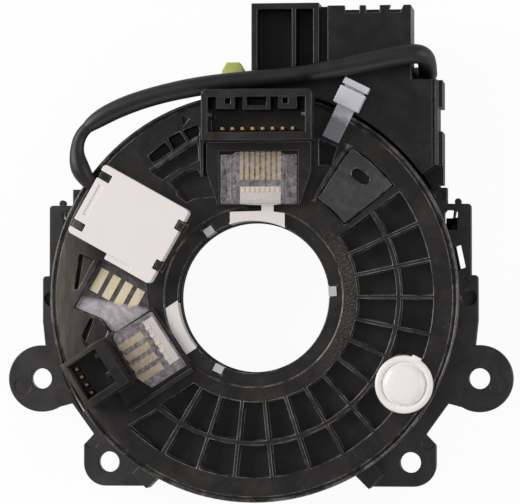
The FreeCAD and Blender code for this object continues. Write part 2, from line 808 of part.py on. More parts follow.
def lid_notches(with_posts):
    """Corners of the cover plate's four notches, or of the posts that stand in them with a gap."""
    gap = "lid_post_gap" if with_posts else "0"
    outside = "-0.2" if with_posts else "1"
    boxes = []
    for place in ("-7.5", "7"):
        boxes.append((f"lid_outer - lid_outer_notch + {gap}", f"lid_outer + {outside}",
                      f"{place} - lid_outer_notch_half + {gap}", f"{place} + lid_outer_notch_half - {gap}"))
    for place in ("-5.9", "6"):
        boxes.append(("-lid_inner - 0.7", f"-lid_inner + lid_inner_notch - {gap}",
                      f"{place} - lid_inner_notch_half + {gap}", f"{place} + lid_inner_notch_half - {gap}"))
    return [((left, low), (right, low), (right, high), (left, high)) for left, right, low, high in boxes]


def make_rotor_face():
    """Ribbed disc: two rings of radial cells, rim with a groove, collar, recesses for what it carries."""
    body = new_body("rotor_face")
    turned(body, "face_profile",
           (FACE_BORE, FACE_BACK), ("rim_radius - rim_skirt_wall", FACE_BACK),
           ("rim_radius - rim_skirt_wall", FACE_BACK + " - rim_skirt"),
           ("rim_radius", FACE_BACK + " - rim_skirt"),
           ("rim_radius", "face_front"), ("rim_radius - rim_lip", "face_front"),
           ("rim_radius - rim_lip", "face_front - rim_groove_depth"),
           ("rim_groove_radius", "face_front - rim_groove_depth"), ("rim_groove_radius", "face_front"),
           ("collar_radius", "face_front"), ("collar_radius", "face_front - collar_lip"),
           (FACE_BORE, "face_front - collar_lip"))

    for ring, inner, outer in (("inner", "inner_cell_inner", "mid_wall_radius - mid_wall / 2"),
                               ("outer", "mid_wall_radius + mid_wall / 2", "shoulder_radius")):
        half_outer = f"(rib_width / 2 / ({outer}) * 57.3)"
        half_inner = f"(rib_width / 2 / ({inner}) * 57.3)"
        cell = cut(body, f"{ring}_cell", POCKET_FLOOR, "face_front",
                   sector(inner, outer,
                          f"cell_start + {half_outer}", f"cell_start + cell_pitch - {half_outer}",
                          f"cell_start + {half_inner}", f"cell_start + cell_pitch - {half_inner}"))
        polar_row(body, f"{ring}_cells", cell, "cell_pitch", CELLS)

    # Two cells beside the row that the tray of the side connector cuts off
    inner_wall = "mid_wall_radius - mid_wall / 2"
    outer_wall = "mid_wall_radius + mid_wall / 2"
    cut(body, "cut_cells", POCKET_FLOOR, "face_front",
        sector("inner_cell_inner", inner_wall, "cut_cell_middle", "cell_start - rib_width", "cut_cell_inner",
               "cell_start - rib_width"),
        sector(outer_wall, "shoulder_radius", "cut_cell_outer", "cell_start - rib_width", "cut_cell_middle",
               "cell_start - rib_width"))

    # Boss that carries the round plug
    centre = polar("plug_place", "plug_angle")
    add(body, "plug_boss", FACE_BACK, "face_front", circle(*centre, "plug_boss_radius"))
    cut(body, "plug_hole", "face_front - plug_stem_length - plug_fit", "face_front",
        circle(*centre, "plug_stem_radius + plug_fit"))

    # Seat of the sector cover and the thin rib beside it
    cut(body, "sector_seat", RECESS_FLOOR, "face_front",
        sector("sector_inner - sector_gap", "sector_outer + sector_gap",
               "sector_start - sector_gap", "sector_stop + sector_gap"))
    add(body, "sector_rib", "face_front - 1", "face_front + 0.7",
        polygon(("15.4", "25.4"), ("16.2", "25.1"), ("25.1", "39.6"), ("24.4", "40")))

    # Window of the contact strips
    cut(body, "contact_window", WINDOW_FLOOR, "face_front",
        polygon(*(lid_place(along, across) for along, across in window_corners("0"))))

    # Slanted recesses between the cover plate and the top connector
    cut(body, "upper_recesses", POCKET_FLOOR, "face_front",
        polygon(("-27.8", "37.2"), ("-23.4", "40.8"), ("-21.7", "38.4"), ("-26.5", "35.4")),
        polygon(("-22.5", "41.9"), ("-19.4", "43.5"), ("-17.7", "40.9"), ("-20.8", "38.9")),
        polygon(("-18.5", "43.9"), ("-14.7", "45.3"), ("-14.1", "43.8"), ("-14.4", "42.5"),
                ("-16.8", "41.5")))
    cut(body, "upper_mark", "face_front - 0.8", "face_front",
        polygon(("-18.8", "47.8"), ("-16.9", "46.9"), ("-18.4", "45.2")))
    cut(body, "upper_channel", "face_front - 2.4", "face_front",
        polygon(("-27", "32.8"), ("-14.7", "40.6"), ("-14.4", "35.9"), ("-16.5", "35.1"), ("-20.4", "33.5"),
                ("-24.1", "30.9")))
    cut(body, "upper_corner", "face_front - 2.8", "face_front",
        polygon(("-22.4", "30.1"), ("-18.3", "32.9"), ("-14.9", "34"), ("-13.9", "32"), ("-11", "31.2"),
                ("-9.7", "26.4"), ("-15.8", "25.9"), ("-17.6", "24.9"), ("-20.1", "27"), ("-20.2", "28")))
    cut(body, "clip_pocket", POCKET_FLOOR, "face_front",
        polygon(("17.4", "41.2"), ("22", "39.3"), ("20.6", "34.6"), ("17.4", "34.6")))
    cut(body, "left_floors", "face_front - 0.8", "face_front",
        polygon(("-46", "11.7"), ("-42.4", "9.7"), ("-46.5", "2.1"), ("-47.6", "2.1")),
        polygon(("-43.3", "-5.5"), ("-41", "-5.2"), ("-38.3", "-8.6"), ("-39.1", "-10.5"), ("-44.1", "-13.1"),
                ("-45.7", "-10.4")))
    cut(body, "left_grooves", "face_front - 3.2", "face_front - 0.8",
        polygon(("-46.1", "11.5"), ("-45.2", "11.1"), ("-46.5", "2.3"), ("-47.5", "2.3")),
        polygon(("-43.3", "-5.6"), ("-42.5", "-5.7"), ("-44.5", "-11.6"), ("-45.6", "-10.4")))
    add(body, "upper_rib", "face_front", "face_front + 0.8",
        polygon(("-27.4", "33.8"), ("-27.1", "33.2"), ("-14.3", "41.4"), ("-14.6", "42")))

    # Posts that stand in the notches of the cover plate
    add(body, "lid_posts", "face_front - 1", "face_front + lid_height - 0.3",
        *(polygon(*(lid_place(along, across) for along, across in corners)) for corners in lid_notches(True)))

    # Recesses where the two flat cables fold into the bore
    fold = FOLD_OUTER + " + fold_gap"
    cut(body, "fold_recesses", FACE_BACK, "face_front",
        sector("bore_radius - 1", fold, "top_fold_start - 1", "top_fold_stop + 1"),
        sector("bore_radius - 1", fold, "side_turn + side_fold_start - 1", "side_turn + side_fold_stop + 1"))

    # Notches in the collar for the three latches, and the peg hole of the transport clip
    notch_inner, notch_outer = "bore_radius - 2", LATCH_RADIUS + " + latch_gap"
    notch_half = "(latch_width / 2 + latch_gap)"
    notch = cut(body, "latch_notch", FACE_BACK, "face_front - collar_lip", polygon(
        rotated_place(notch_inner, "-" + notch_half, "latch_first"),
        rotated_place(notch_outer, "-" + notch_half, "latch_first"),
        rotated_place(notch_outer, notch_half, "latch_first"),
        rotated_place(notch_inner, notch_half, "latch_first")))
    polar_row(body, "latch_notches", notch, "120", LATCHES)
    cut(body, "peg_hole", "face_front - clip_peg_length - clip_peg_fit", "face_front",
        circle(*polar("clip_peg_place", "clip_angle"), "clip_peg_radius + clip_peg_fit"))
    return body


def rotated_place(along, across, angle):
    """A place given along and across a radial line, in the directions of the part."""
    return (f"({along}) * cos({angle}) - ({across}) * sin({angle})",
            f"({along}) * sin({angle}) + ({across}) * cos({angle})")


def make_rotor_sleeve():
    """Tube that runs in the rear cover: a snap ring keeps it in, its front end narrows to the hub."""
    body = new_body("rotor_sleeve")
    snap_back = "rear_cover_thickness + running_gap"
    snap_front = snap_back + " + sleeve_snap_height"
    turned(body, "sleeve_profile",
           ("column_radius", "0"), ("sleeve_radius", "0"),
           ("sleeve_radius", snap_back), ("snap_radius", snap_back),
           ("snap_radius", snap_front), ("sleeve_radius", snap_front), ("sleeve_radius", FACE_BACK),
           ("bore_radius", FACE_BACK), ("bore_radius", "hub_back"), ("column_radius", "hub_back"))
    return body


def make_latch(index):
    """One of the pale latches that stand on the sleeve and hook over the collar of the face."""
    body = new_body(f"bore_latch_{index + 1}", f"latch_first + {index} * 120")
    add(body, f"latch_{index + 1}_pad", FACE_BACK, "face_front - latch_inset",
        block("bore_radius + latch_inset", LATCH_RADIUS, "-latch_width / 2", "latch_width / 2"))
    cut(body, f"latch_{index + 1}_hook", FACE_BACK + " + 1", "face_front - latch_inset - 1.2",
        block("bore_radius + 1.4", LATCH_RADIUS + " + 1", "-latch_width", "latch_width"))
    return body


def make_ribbon_coil():
    """Spiral of the flat cable: half circles that step outwards by half a pitch each."""
    thickness = number("ribbon_thickness")
    step = number("ribbon_pitch") / 2
    half_turns = 2 * int(number("ribbon_turns"))
    level = number("rear_cover_thickness + slide_sheet_thickness + running_gap")
    inner_side, outer_side = [], []
    for index in range(half_turns):
        centre = FreeCAD.Vector(step / 2 if index % 2 else -step / 2, 0, level)
        radius = number("ribbon_inner") + step * (index + 0.5)
        start = math.pi * (index % 2)
        for side, offset in ((inner_side, 0.0), (outer_side, thickness)):
            whole = Part.Circle(centre, FreeCAD.Vector(0, 0, 1), radius + offset)
            side.append(Part.ArcOfCircle(whole, start, start + math.pi).toShape())
    ends = []
    for index, place in ((0, 0), (-1, -1)):
        ends.append(Part.makeLine(inner_side[index].Vertexes[place].Point,
                                  outer_side[index].Vertexes[place].Point))
    outline = Part.Wire(Part.__sortEdges__(inner_side + outer_side + ends))
    coil = doc.addObject("Part::Feature", "ribbon_coil")
    coil.Shape = Part.Face(outline).extrude(FreeCAD.Vector(0, 0, number("ribbon_height")))
    coil.Label = "ribbon_coil"
    return coil


# Rotor: the top connector and its joint

def make_top_connector():
    """Connector with its mouth towards the wheel, and the tapering joint tray below it."""
    body = new_body("top_connector")
    left, right = "top_centre - top_half", "top_centre + top_half"
    mouth_left, mouth_right = left + " + top_wall", right + " - top_wall"
    mouth_low, mouth_high = "top_inner + top_wall + 0.4", "top_outer - top_wall - 0.3"
    add(body, "connector_box", "face_front", "top_front", block(left, right, "top_inner", "top_outer"))
    cut(body, "mouth", "top_floor", "top_front", block(mouth_left, mouth_right, mouth_low, mouth_high))

    # Keys, ribs and side nubs inside the mouth
    bodies_of_keys = []
    for side in (-1, 1):
        centre = f"top_centre + {side} * top_key_place"
        bodies_of_keys.append(block(centre + " - top_key_width / 2", centre + " + top_key_width / 2",
                                    mouth_high + " - top_key_reach", mouth_high))
    for side in (-1, 1):
        centre = f"top_centre + {side} * top_rib_place"
        bodies_of_keys.append(block(centre + " - top_rib_width / 2", centre + " + top_rib_width / 2",
                                    mouth_high + " - top_rib_reach", mouth_high))
    bodies_of_keys.append(block("top_centre - top_rib_place - top_rib_width / 2",
                                "top_centre + top_rib_place + top_rib_width / 2",
                                mouth_high + " - top_rib_reach - top_bar_reach",
                                mouth_high + " - top_rib_reach"))
    middle = "(top_inner + top_outer) / 2"
    bodies_of_keys.append(block(mouth_left, mouth_left + " + top_nub", middle + " - 0.6", middle + " + 0.6"))
    bodies_of_keys.append(block(mouth_right + " - top_nub", mouth_right,
                                middle + " - 0.6", middle + " + 0.6"))
    add(body, "mouth_keys", "top_floor", "top_front - 0.6", *bodies_of_keys)
    cut(body, "key_holes", "top_floor + 1", "top_front - 0.6",
        *(block(f"top_centre + {side} * (top_key_place - 0.6) - top_key_hole / 2",
                f"top_centre + {side} * (top_key_place - 0.6) + top_key_hole / 2",
                mouth_high + " - 1.7", mouth_high + " - 1.7 + top_key_hole") for side in (-1, 1)))

    # Joint tray with its tapering side walls
    tray_edges = {side: (f"tray_centre + {side} * tray_half_bottom", f"tray_centre + {side} * tray_half_top",
                         f"tray_centre + {side} * tray_inner_half") for side in (-1, 1)}
    (low_left, wide_left, _), (low_right, wide_right, _) = tray_edges[-1], tray_edges[1]
    add(body, "joint_tray", "face_front", FOOT_BACK, polygon(
        (low_left, "tray_bottom"), (low_right, "tray_bottom"), (wide_right, "tray_break"),
        (wide_right, "top_inner"), (wide_left, "top_inner"), (wide_left, "tray_break")))
    for name, (low, wide, inner) in zip(("left", "right"), tray_edges.values()):
        add(body, f"{name}_tray_wall", "face_front", "face_front + tray_wall_height", polygon(
            (low, "tray_bottom"), (wide, "tray_break"), (wide, "top_inner"), (inner, "top_inner"),
            (inner, "tray_bottom")))
    add(body, "shoulder_bar_pad", FOOT_BACK + " + foot_thickness + pin_gap", "face_front + tray_wall_height",
        block("tray_centre - tray_half_top + 0.5", "tray_centre + tray_half_top - 0.5",
              "top_inner - shoulder_bar", "top_inner + 0.5"))
    add(body, "guide_rib", "face_front", "face_front + guide_rib_height",
        polygon((left + " - guide_rib_gap - guide_rib_width", "top_inner + guide_rib_rise"),
                (left + " + guide_rib_gap", "top_inner + guide_rib_rise"),
                (left + " + guide_rib_gap", "top_inner"),
                (left + " - guide_rib_gap", "top_inner - guide_rib_gap"),
                (left + " - guide_rib_gap", "top_inner - guide_rib_drop"),
                (left + " - guide_rib_width", "top_inner - guide_rib_drop")))

    # Slot for the feet of the terminals and one hole for each pin
    cut(body, "foot_slot", FOOT_BACK, FOOT_BACK + " + foot_thickness + pin_gap",
        block(f"top_centre - {PINS / 2} * top_pin_pitch", f"top_centre + {PINS / 2} * top_pin_pitch",
              "top_inner - 1", mouth_low + " + 2.4"))
    first = f"top_centre - {(PINS - 1) / 2} * top_pin_pitch"
    reach = "(pin_side / 2 + pin_gap)"
    hole = cut(body, "pin_hole", FOOT_BACK + " + foot_thickness + pin_gap", "top_floor",
               block(f"{first} - {reach}", f"{first} + {reach}",
                     f"{mouth_low} + 1 - {reach}", f"{mouth_low} + 1 + {reach}"))
    straight_row(body, "pin_holes", hole, "top_pin_pitch", PINS)
    round_corners(body, "box_corners", "top_corner", (left, "top_outer"), (right, "top_outer"))

    # The lead passes under the upper edge of the box
    cut(body, "lead_groove", "face_front", "lead_level + lead_sleeve_radius + 0.3",
        block(left + " - 1", right + " + 1", "top_outer - lead_groove_depth", "top_outer + 1"))
    return body


def make_terminal(label, pin_place, strip_place, pin_line, bend, strip_bend, strip_end, width, back,
                  front, turn=None):
    """Stamped terminal: a flat foot that steps sideways from its pin to its joint strip.

    The foot runs in the second direction; pin_line is where the pin stands, strip_end where the foot ends.
    """
    body = new_body(label, turn)
    half = f"({width}) / 2"
    pin_half = "foot_width / 2"
    add(body, label + "_foot", back, f"{back} + foot_thickness", polygon(
        (f"{pin_place} - {pin_half}", f"{pin_line} + pin_side / 2"), (f"{pin_place} - {pin_half}", bend),
        (f"{strip_place} - {half}", strip_bend), (f"{strip_place} - {half}", strip_end),
        (f"{strip_place} + {half}", strip_end), (f"{strip_place} + {half}", strip_bend),
        (f"{pin_place} + {pin_half}", bend), (f"{pin_place} + {pin_half}", f"{pin_line} + pin_side / 2")))
    add(body, label + "_pin", f"{back} + foot_thickness / 2", front,
        block(f"{pin_place} - pin_side / 2", f"{pin_place} + pin_side / 2",
              f"{pin_line} - pin_side / 2", f"{pin_line} + pin_side / 2"))
    return body


def make_top_terminals():
    """Eight terminals of the top connector."""
    made = []
    for index in range(PINS):
        offset = index - (PINS - 1) / 2
        made.append(make_terminal(
            f"top_terminal_{index + 1}", f"top_centre + {offset} * top_pin_pitch",
            f"top_centre + {offset} * top_strip_pitch", "top_inner + top_wall + 1.4", "top_inner - 0.2",
            "top_inner - shoulder_bar", "top_strip_end", "foot_width", FOOT_BACK, "pin_front"))
    return made


def make_top_flat_cable():
    """White flat cable: wide in the tray, a narrow neck, then a wide tail that folds into the bore."""
    body = new_body("top_flat_cable")
    back, front = FOOT_BACK, FOOT_BACK + " + flat_thickness"
    run_left, run_right = "top_centre - top_flat_half", "top_centre + top_flat_half"
    neck_left = "top_centre + top_neck_shift - top_neck_half"
    neck_right = "top_centre + top_neck_shift + top_neck_half"
    tail_left = "top_centre - top_tail_shift - top_fold_half"
    tail_right = "top_centre - top_tail_shift + top_fold_half"
    add(body, "flat_run", back, front, polygon(
        (run_left, "top_flat_top"), (run_left, "top_neck_top + 0.3"), (neck_left, "top_neck_top"),
        (neck_left, "top_fold_top + 0.2"), (tail_left, "top_fold_top"), (tail_left, "bore_radius - 3"),
        (tail_right, "bore_radius - 3"), (tail_right, "top_fold_top - 0.4"), (neck_right, "top_fold_top"),
        (neck_right, "top_neck_top"), (run_right, "top_neck_top + 0.3"), (run_right, "top_flat_top")))
    cut(body, "bore_end", back, front, circle("0", "0", FOLD_INNER))
    add(body, "bore_tail", FACE_BACK + " + fold_gap", front,
        sector(FOLD_INNER, FOLD_OUTER, "top_fold_start", "top_fold_stop"))
    return body


def make_top_cover():
    """Clear cover over the joint, with a raised box in the middle."""
    body = new_body("top_joint_cover")
    back = "face_front + tray_wall_height"
    skirt = FOOT_BACK + " + foot_thickness + joint_cover_gap"
    top = "top_inner - shoulder_bar - joint_cover_gap"
    wing = "(tray_inner_half - joint_cover_gap)"
    add(body, "cover_sheet", back + " - joint_cover_thickness", back,
        block(f"tray_centre - {wing}", f"tray_centre + {wing}", "top_cover_bottom", "top_cover_top"))
    add(body, "cover_box", skirt, back + " + top_cover_box_rise",
        bevelled_block("tray_centre - top_cover_box_half", "tray_centre + top_cover_box_half",
                       "top_cover_bottom", top, "top_cover_box_corner"))
    cut(body, "cover_hollow", skirt, back + " + top_cover_box_rise - joint_cover_thickness",
        bevelled_block("tray_centre - top_cover_box_half + joint_cover_thickness",
                       "tray_centre + top_cover_box_half - joint_cover_thickness",
                       "top_cover_bottom + joint_cover_thickness", top + " - joint_cover_thickness",
                       "(top_cover_box_corner / 2)"))
    return body


# Rotor: the side connector and its joint, drawn with the first direction pointing outwards

def make_side_connector():
    """Small connector at the rim with its mouth towards the wheel, and its joint tray."""
    body = new_body("side_connector", "side_turn")
    add(body, "side_box", "face_front", "side_front",
        block("side_box_inner", "side_box_outer", "side_box_low", "side_box_high"))
    cut(body, "side_mouth", "side_floor", "side_front",
        block("side_mouth_inner", "side_mouth_outer", "side_mouth_low", "side_mouth_high"))
    add(body, "side_keys", "side_floor", "side_front - 1.2",
        block("side_mouth_inner", "side_mouth_inner + 1.2", "side_mouth_low + 1", "side_mouth_low + 2.4"),
        block("side_mouth_inner", "side_mouth_inner + 1.2", "side_mouth_high - 3.4", "side_mouth_high - 2"))
    add(body, "side_tray", "face_front", SIDE_FOOT_BACK, polygon(
        ("side_tray_inner", "side_tray_low"), ("side_box_inner", "side_tray_low"),
        ("side_box_inner", "side_box_high"), ("side_wing_outer", "side_box_high"),
        ("side_wing_outer", "side_tray_high"), ("side_tray_inner", "side_tray_high")))
    add(body, "side_tray_wall", "face_front", "face_front + tray_wall_height",
        block("side_tray_inner", "side_wing_outer", "side_tray_high - 1.2", "side_tray_high"))
    add(body, "box_bridge", SIDE_FOOT_BACK + " + foot_thickness + pin_gap", "face_front + tray_wall_height",
        block("side_cover_outer + joint_cover_gap", "side_box_inner + 0.5", "side_box_low", "side_box_high"))
    low = "side_pin_first - side_pin_pitch / 2"
    high = f"side_pin_first + {SIDE_PINS - 0.5} * side_pin_pitch"
    cut(body, "side_foot_slot", SIDE_FOOT_BACK, SIDE_FOOT_BACK + " + foot_thickness + pin_gap",
        block("side_box_inner - 1.5", "side_pin_place + 1", low, high))
    reach = "(pin_side / 2 + pin_gap)"
    hole = cut(body, "side_pin_hole", SIDE_FOOT_BACK + " + foot_thickness + pin_gap", "side_floor",
               block(f"side_pin_place - {reach}", f"side_pin_place + {reach}",
                     f"side_pin_first - {reach}", f"side_pin_first + {reach}"))
    straight_row(body, "side_pin_holes", hole, "side_pin_pitch", SIDE_PINS, "V_Axis")
    return body


def make_side_terminals():
    """Four terminals of the side connector, each with a wide joint strip."""
    made = []
    for index in range(SIDE_PINS):
        made.append(make_terminal(
            f"side_terminal_{index + 1}", f"-side_pin_first - {index} * side_pin_pitch",
            f"-side_strip_first - {index} * side_strip_pitch", "side_pin_place", "side_box_inner - 0.2",
            "side_cover_outer - 0.4", "side_strip_end", "side_strip_width", SIDE_FOOT_BACK,
            "side_pin_front", "side_turn - 90"))
    return made


def make_side_link():
    """White strip that joins the four strips to the flat cable."""
    body = new_body("side_link_strip", "side_turn")
    add(body, "link_pad", SIDE_FOOT_BACK, SIDE_FOOT_BACK + " + foot_thickness",
        block("link_inner", "link_outer", "link_low", "link_high"))
    return body


def make_side_flat_cable():
    """White flat cable that leaves the side joint and folds into the bore."""
    body = new_body("side_flat_cable", "side_turn")
    back, front = "face_front - collar_lip", "face_front - collar_lip + flat_thickness"
    add(body, "side_flat_run", back, front,
        block("bore_radius - 4", "side_tray_inner - joint_cover_gap", "side_flat_low", "side_flat_high"))
    cut(body, "side_bore_end", back, front, circle("0", "0", FOLD_INNER))
    cut(body, "side_run_trim", back, front, circle("0", "0", "collar_radius - film_clearance"),
        circle("0", "0", "collar_radius + 6"))
    add(body, "side_bore_tail", FACE_BACK + " + fold_gap", front,
        sector(FOLD_INNER, FOLD_OUTER, "side_fold_start", "side_fold_stop"))
    return body


def make_side_cover():
    """Clear cover over the side joint."""
    body = new_body("side_joint_cover", "side_turn")
    skirt = SIDE_FOOT_BACK + " + foot_thickness + joint_cover_gap"
    front = "face_front + tray_wall_height"
    add(body, "side_cover_pad", skirt, front, polygon(
        ("side_cover_inner", "side_tray_low + 0.8"), ("side_cover_outer - 1", "side_tray_low + 0.4"),
        ("side_cover_outer", "side_tray_low + 1.4"), ("side_cover_outer", "side_cover_high - 3.6"),
        ("side_cover_outer - 1.6", "side_cover_high"), ("side_cover_inner", "side_cover_high")))
    cut(body, "side_cover_hollow", skirt, front + " - joint_cover_thickness",
        block("side_cover_inner + joint_cover_thickness", "side_cover_outer - 2.2",
              "side_tray_low + 2", "side_cover_high - joint_cover_thickness"))
    return body


# Rotor: the contact window

def make_contact_strip(index):
    """One of the four gilt contact strips on the floor of the window."""
    body = new_body(f"contact_strip_{index + 1}", "lid_turn")
    along = f"{LID_X} + contact_first - {index} * contact_pitch"
    across = f"{LID_Y} + contact_place"
    add(body, f"contact_{index + 1}_pad", WINDOW_FLOOR, WINDOW_FLOOR + " + contact_thickness",
        block(f"{along} - contact_width / 2", f"{along} + contact_width / 2",
              f"{across} - contact_length / 2", f"{across} + contact_length / 2"))
    return body


def make_contact_film():
    """Clear film over the strips."""
    body = new_body("contact_film", "lid_turn")
    back = WINDOW_FLOOR + " + contact_thickness"
    corners = window_corners("film_clearance")
    add(body, "film_pad", back, back + " + film_thickness",
        polygon(*((f"{LID_X} + {along}", f"{LID_Y} + {across}") for along, across in corners)))
    return body


# Rotor: the white cover plate, the sector cover and the round plug

def make_cover_plate():
    """White moulded lid over the root of the lead, with four notches for its clips."""
    body = new_body("cover_plate", "lid_turn")
    front = "face_front + lid_height"

    def at(along, across):
        return f"{LID_X} + ({along})", f"{LID_Y} + ({across})"

    add(body, "lid_pad", "face_front", front, polygon(
        at("-lid_inner", "-lid_upper"), at("lid_outer", "-lid_upper"), at("lid_outer", "lid_lower"),
        at("lid_step_place", "lid_lower"), at("lid_step_place", "lid_lower + lid_step"),
        at("-lid_inner", "lid_lower + lid_step")))
    cut(body, "lid_hollow", "face_front", front + " - lid_wall", polygon(
        at("-lid_inner + lid_inner_notch + lid_wall", "-lid_upper + lid_wall"),
        at("lid_outer - lid_outer_notch - lid_wall", "-lid_upper + lid_wall"),
        at("lid_outer - lid_outer_notch - lid_wall", "lid_lower - lid_wall"),
        at("-lid_inner + lid_inner_notch + lid_wall", "lid_lower - lid_wall")))
    cut(body, "lid_notches", "face_front", front,
        *(polygon(*(at(along, across) for along, across in corners)) for corners in lid_notches(False)))
    cut(body, "lid_lip", front + " - lid_lip_drop", front, polygon(
        at("lid_step_place + 1", "lid_lower"), at("lid_step_place + 1", "lid_lower + lid_step + 1"),
        at("-lid_inner / 2", "lid_lower + lid_step + 1"), at("-lid_inner / 2", "lid_lower")))
    groove_end = "lid_groove_start + lid_groove_width"
    cut(body, "lid_groove", front + " - lid_groove_depth", front, polygon(
        at("lid_groove_start", "-4.9"), at(groove_end, "-4.9"),
        at(groove_end, "3.8"), at("lid_groove_start", "3.8")))
    # Passage of the lead through the outer corner of the lid
    passage = "lid_outer - lid_outer_notch - lid_wall - 1"
    cut(body, "lead_passage", "face_front", "lead_level + lead_diameter / 2 + 0.2", polygon(
        at(passage, "-5.75"), at("lid_outer + 1", "-5.75"),
        at("lid_outer + 1", "-1.35"), at(passage, "-1.35")))
    round_corners(body, "lid_corners", "lid_corner",
                  at("-lid_inner", "-lid_upper"), at("lid_outer", "-lid_upper"), at("lid_outer", "lid_lower"),
                  at("-lid_inner", "lid_lower + lid_step"))
    return body


def make_sector_cover():
    """Flat cover in the ring sector beside the top connector, with an oval hole."""
    body = new_body("sector_cover")
    front = "face_front + sector_rise"
    add(body, "sector_pad", RECESS_FLOOR, front,
        sector("sector_inner", "sector_outer", "sector_start", "sector_stop"))
    round_corners(body, "sector_corners", "sector_corner",
                  *(polar(radius, angle) for radius in ("sector_inner", "sector_outer")
                    for angle in ("sector_start", "sector_stop")))
    centre = polar("oval_place", "oval_angle")
    add(body, "oval_rim_pad", front, front + " + oval_rim_height",
        oval(centre, "oval_half", "oval_radius + oval_rim", "oval_turn"))
    cut(body, "oval_hole", RECESS_FLOOR, front + " + oval_rim_height",
        oval(centre, "oval_half", "oval_radius", "oval_turn"))
    return body


def make_round_plug():
    """White plug pressed into the boss of the face: rim, raised disc, stem and a small nub."""
    body = new_body("round_plug")
    centre = polar("plug_place", "plug_angle")
    add(body, "plug_rim", "face_front", "face_front + plug_rim_height", circle(*centre, "plug_radius"))
    add(body, "plug_disc", "face_front", "face_front + plug_disc_height", circle(*centre, "plug_disc_radius"))
    add(body, "plug_stem", "face_front - plug_stem_length", "face_front + plug_rim_height",
        circle(*centre, "plug_stem_radius"))
    nub = (f"{centre[0]} + (plug_radius - 0.4) * cos(64)", f"{centre[1]} + (plug_radius - 0.4) * sin(64)")
    add(body, "plug_nub_pad", "face_front", "face_front + plug_rim_height", polygon(
        (f"{nub[0]} - plug_nub / 2", f"{nub[1]} - 0.4"), (f"{nub[0]} + plug_nub / 2", f"{nub[1]} - 1.2"),
        (f"{nub[0]} + plug_nub / 2", f"{nub[1]} + 0.4"), (f"{nub[0]} - plug_nub / 2", f"{nub[1]} + 1.2")))
    return body


# Transport clip

def make_lock_clip():
    """Clip that lies along a radius of the face, with a head over the tower and a peg in the face."""
    body = new_body("lock_clip", "clip_angle")
    seat = "face_front + clip_seat"
    add(body, "clip_strip", seat, seat + " + clip_strip_height",
        block("clip_inner", "clip_head_inner + 1", "-clip_strip_half", "clip_strip_half"))
    add(body, "clip_head", seat, seat + " + clip_head_height",
        block("clip_head_inner", "clip_head_outer", "-clip_head_half", "clip_head_half"))
    add(body, "clip_bridge", seat, seat + " + clip_strip_height",
        block("clip_head_outer - 1", "clip_block_inner + 1", "-clip_head_half + 0.8", "clip_head_half - 0.8"))
    add(body, "clip_block", seat, seat + " + clip_block_height",
        block("clip_block_inner", "clip_block_outer", "-clip_head_half", "clip_head_half"))
    add(body, "clip_peg", f"{seat} - clip_peg_length", seat + " + clip_strip_height",
        circle("clip_peg_place", "0", "clip_peg_radius"))
    return body


# Lead and its plug

def rounded_path(points):
    """Straight runs joined by tangent arcs, each as large as its two runs allow."""
    corners = [FreeCAD.Vector(*point) for point in points]
    edges = []
    start = corners[0]
    for before, corner, after in zip(corners, corners[1:], corners[2:]):
        arriving, leaving = (corner - before).normalize(), (after - corner).normalize()
        turn = arriving.getAngle(leaving)
        shorter = min((corner - before).Length, (after - corner).Length)
        setback = 0.45 * shorter
        radius = setback / math.tan(turn / 2)
        entry, exit_point = corner - arriving * setback, corner + leaving * setback
        towards = (leaving - arriving).normalize()
        middle = corner + towards * (radius / math.cos(turn / 2) - radius)
        edges.append(Part.LineSegment(start, entry).toShape())
        edges.append(Part.Arc(entry, middle, exit_point).toShape())
        print(f"lead arc: radius {radius:.1f}, turn {math.degrees(turn):.0f} degrees")
        start = exit_point
    edges.append(Part.LineSegment(start, corners[-1]).toShape())
    return Part.Wire(edges)


def lead_path():
    """Centre line: out of the lid, round the rim, in front of the tower and back behind it to the plug.

    It keeps its distance from the outer edge of the top connector, the tower's block and the tower's side.
    """
    level = number("lead_level")
    box, block_edge, side = number("top_outer"), number("block_top"), number("tower_right")
    plug = number("(lead_plug_low + lead_plug_high) / 2")
    return rounded_path((
        (-39.6, 27.4, level), (-43.0, 29.9, level), (-45.6, 33.9, level), (-46.5, 38.6, level),
        (-45.3, 43.0, level), (-41.6, 46.3, level), (-34.8, 49.9, level), (-25.4, box - 0.7, level),
        (-13.6, box + 1.8, level), (-0.6, box + 3.6, level), (12.2, box + 4.6, level),
        (22.2, block_edge + 2.8, level), (30.4, block_edge + 4.3, level), (37.6, block_edge + 5.8, level),
        (side + 1.6, block_edge + 6.5, level), (side + 3.8, block_edge + 5.7, 27.6),
        (side + 4.0, block_edge + 4.1, 21.6), (side + 3.6, block_edge + 3.0, 14.4),
        (side + 3.5, block_edge + 2.7, 7.9), (side + 1.1, block_edge + 2.5, 5.4),
        (36.2, block_edge + 2.1, 4.6), (25.6, block_edge + 1.9, 4.2), (14.6, plug - 0.6, 4.0),
        (4.6, plug, 4.3), (number("lead_plug_right"), plug, 4.3)))


def swept(path, radius):
    """A round rod along a path."""
    start = path.Edges[0]
    first = start.FirstParameter
    circle_edge = Part.makeCircle(radius, start.valueAt(first), start.tangentAt(first))
    return path.makePipeShell([Part.Wire(circle_edge)], True, True)


def make_lead():
    """Core of the lead, bare near the lid and near the plug."""
    path = lead_path()
    radius = number("lead_diameter / 2")
    lead = doc.addObject("Part::Feature", "lead")
    lead.Shape = swept(path, radius)
    lead.Label = "lead"
    print(f"lead: path {path.Length:.1f} mm, volume {lead.Shape.Volume:.1f}, "
          f"section by length {math.pi * radius ** 2 * path.Length:.1f}")
    return lead


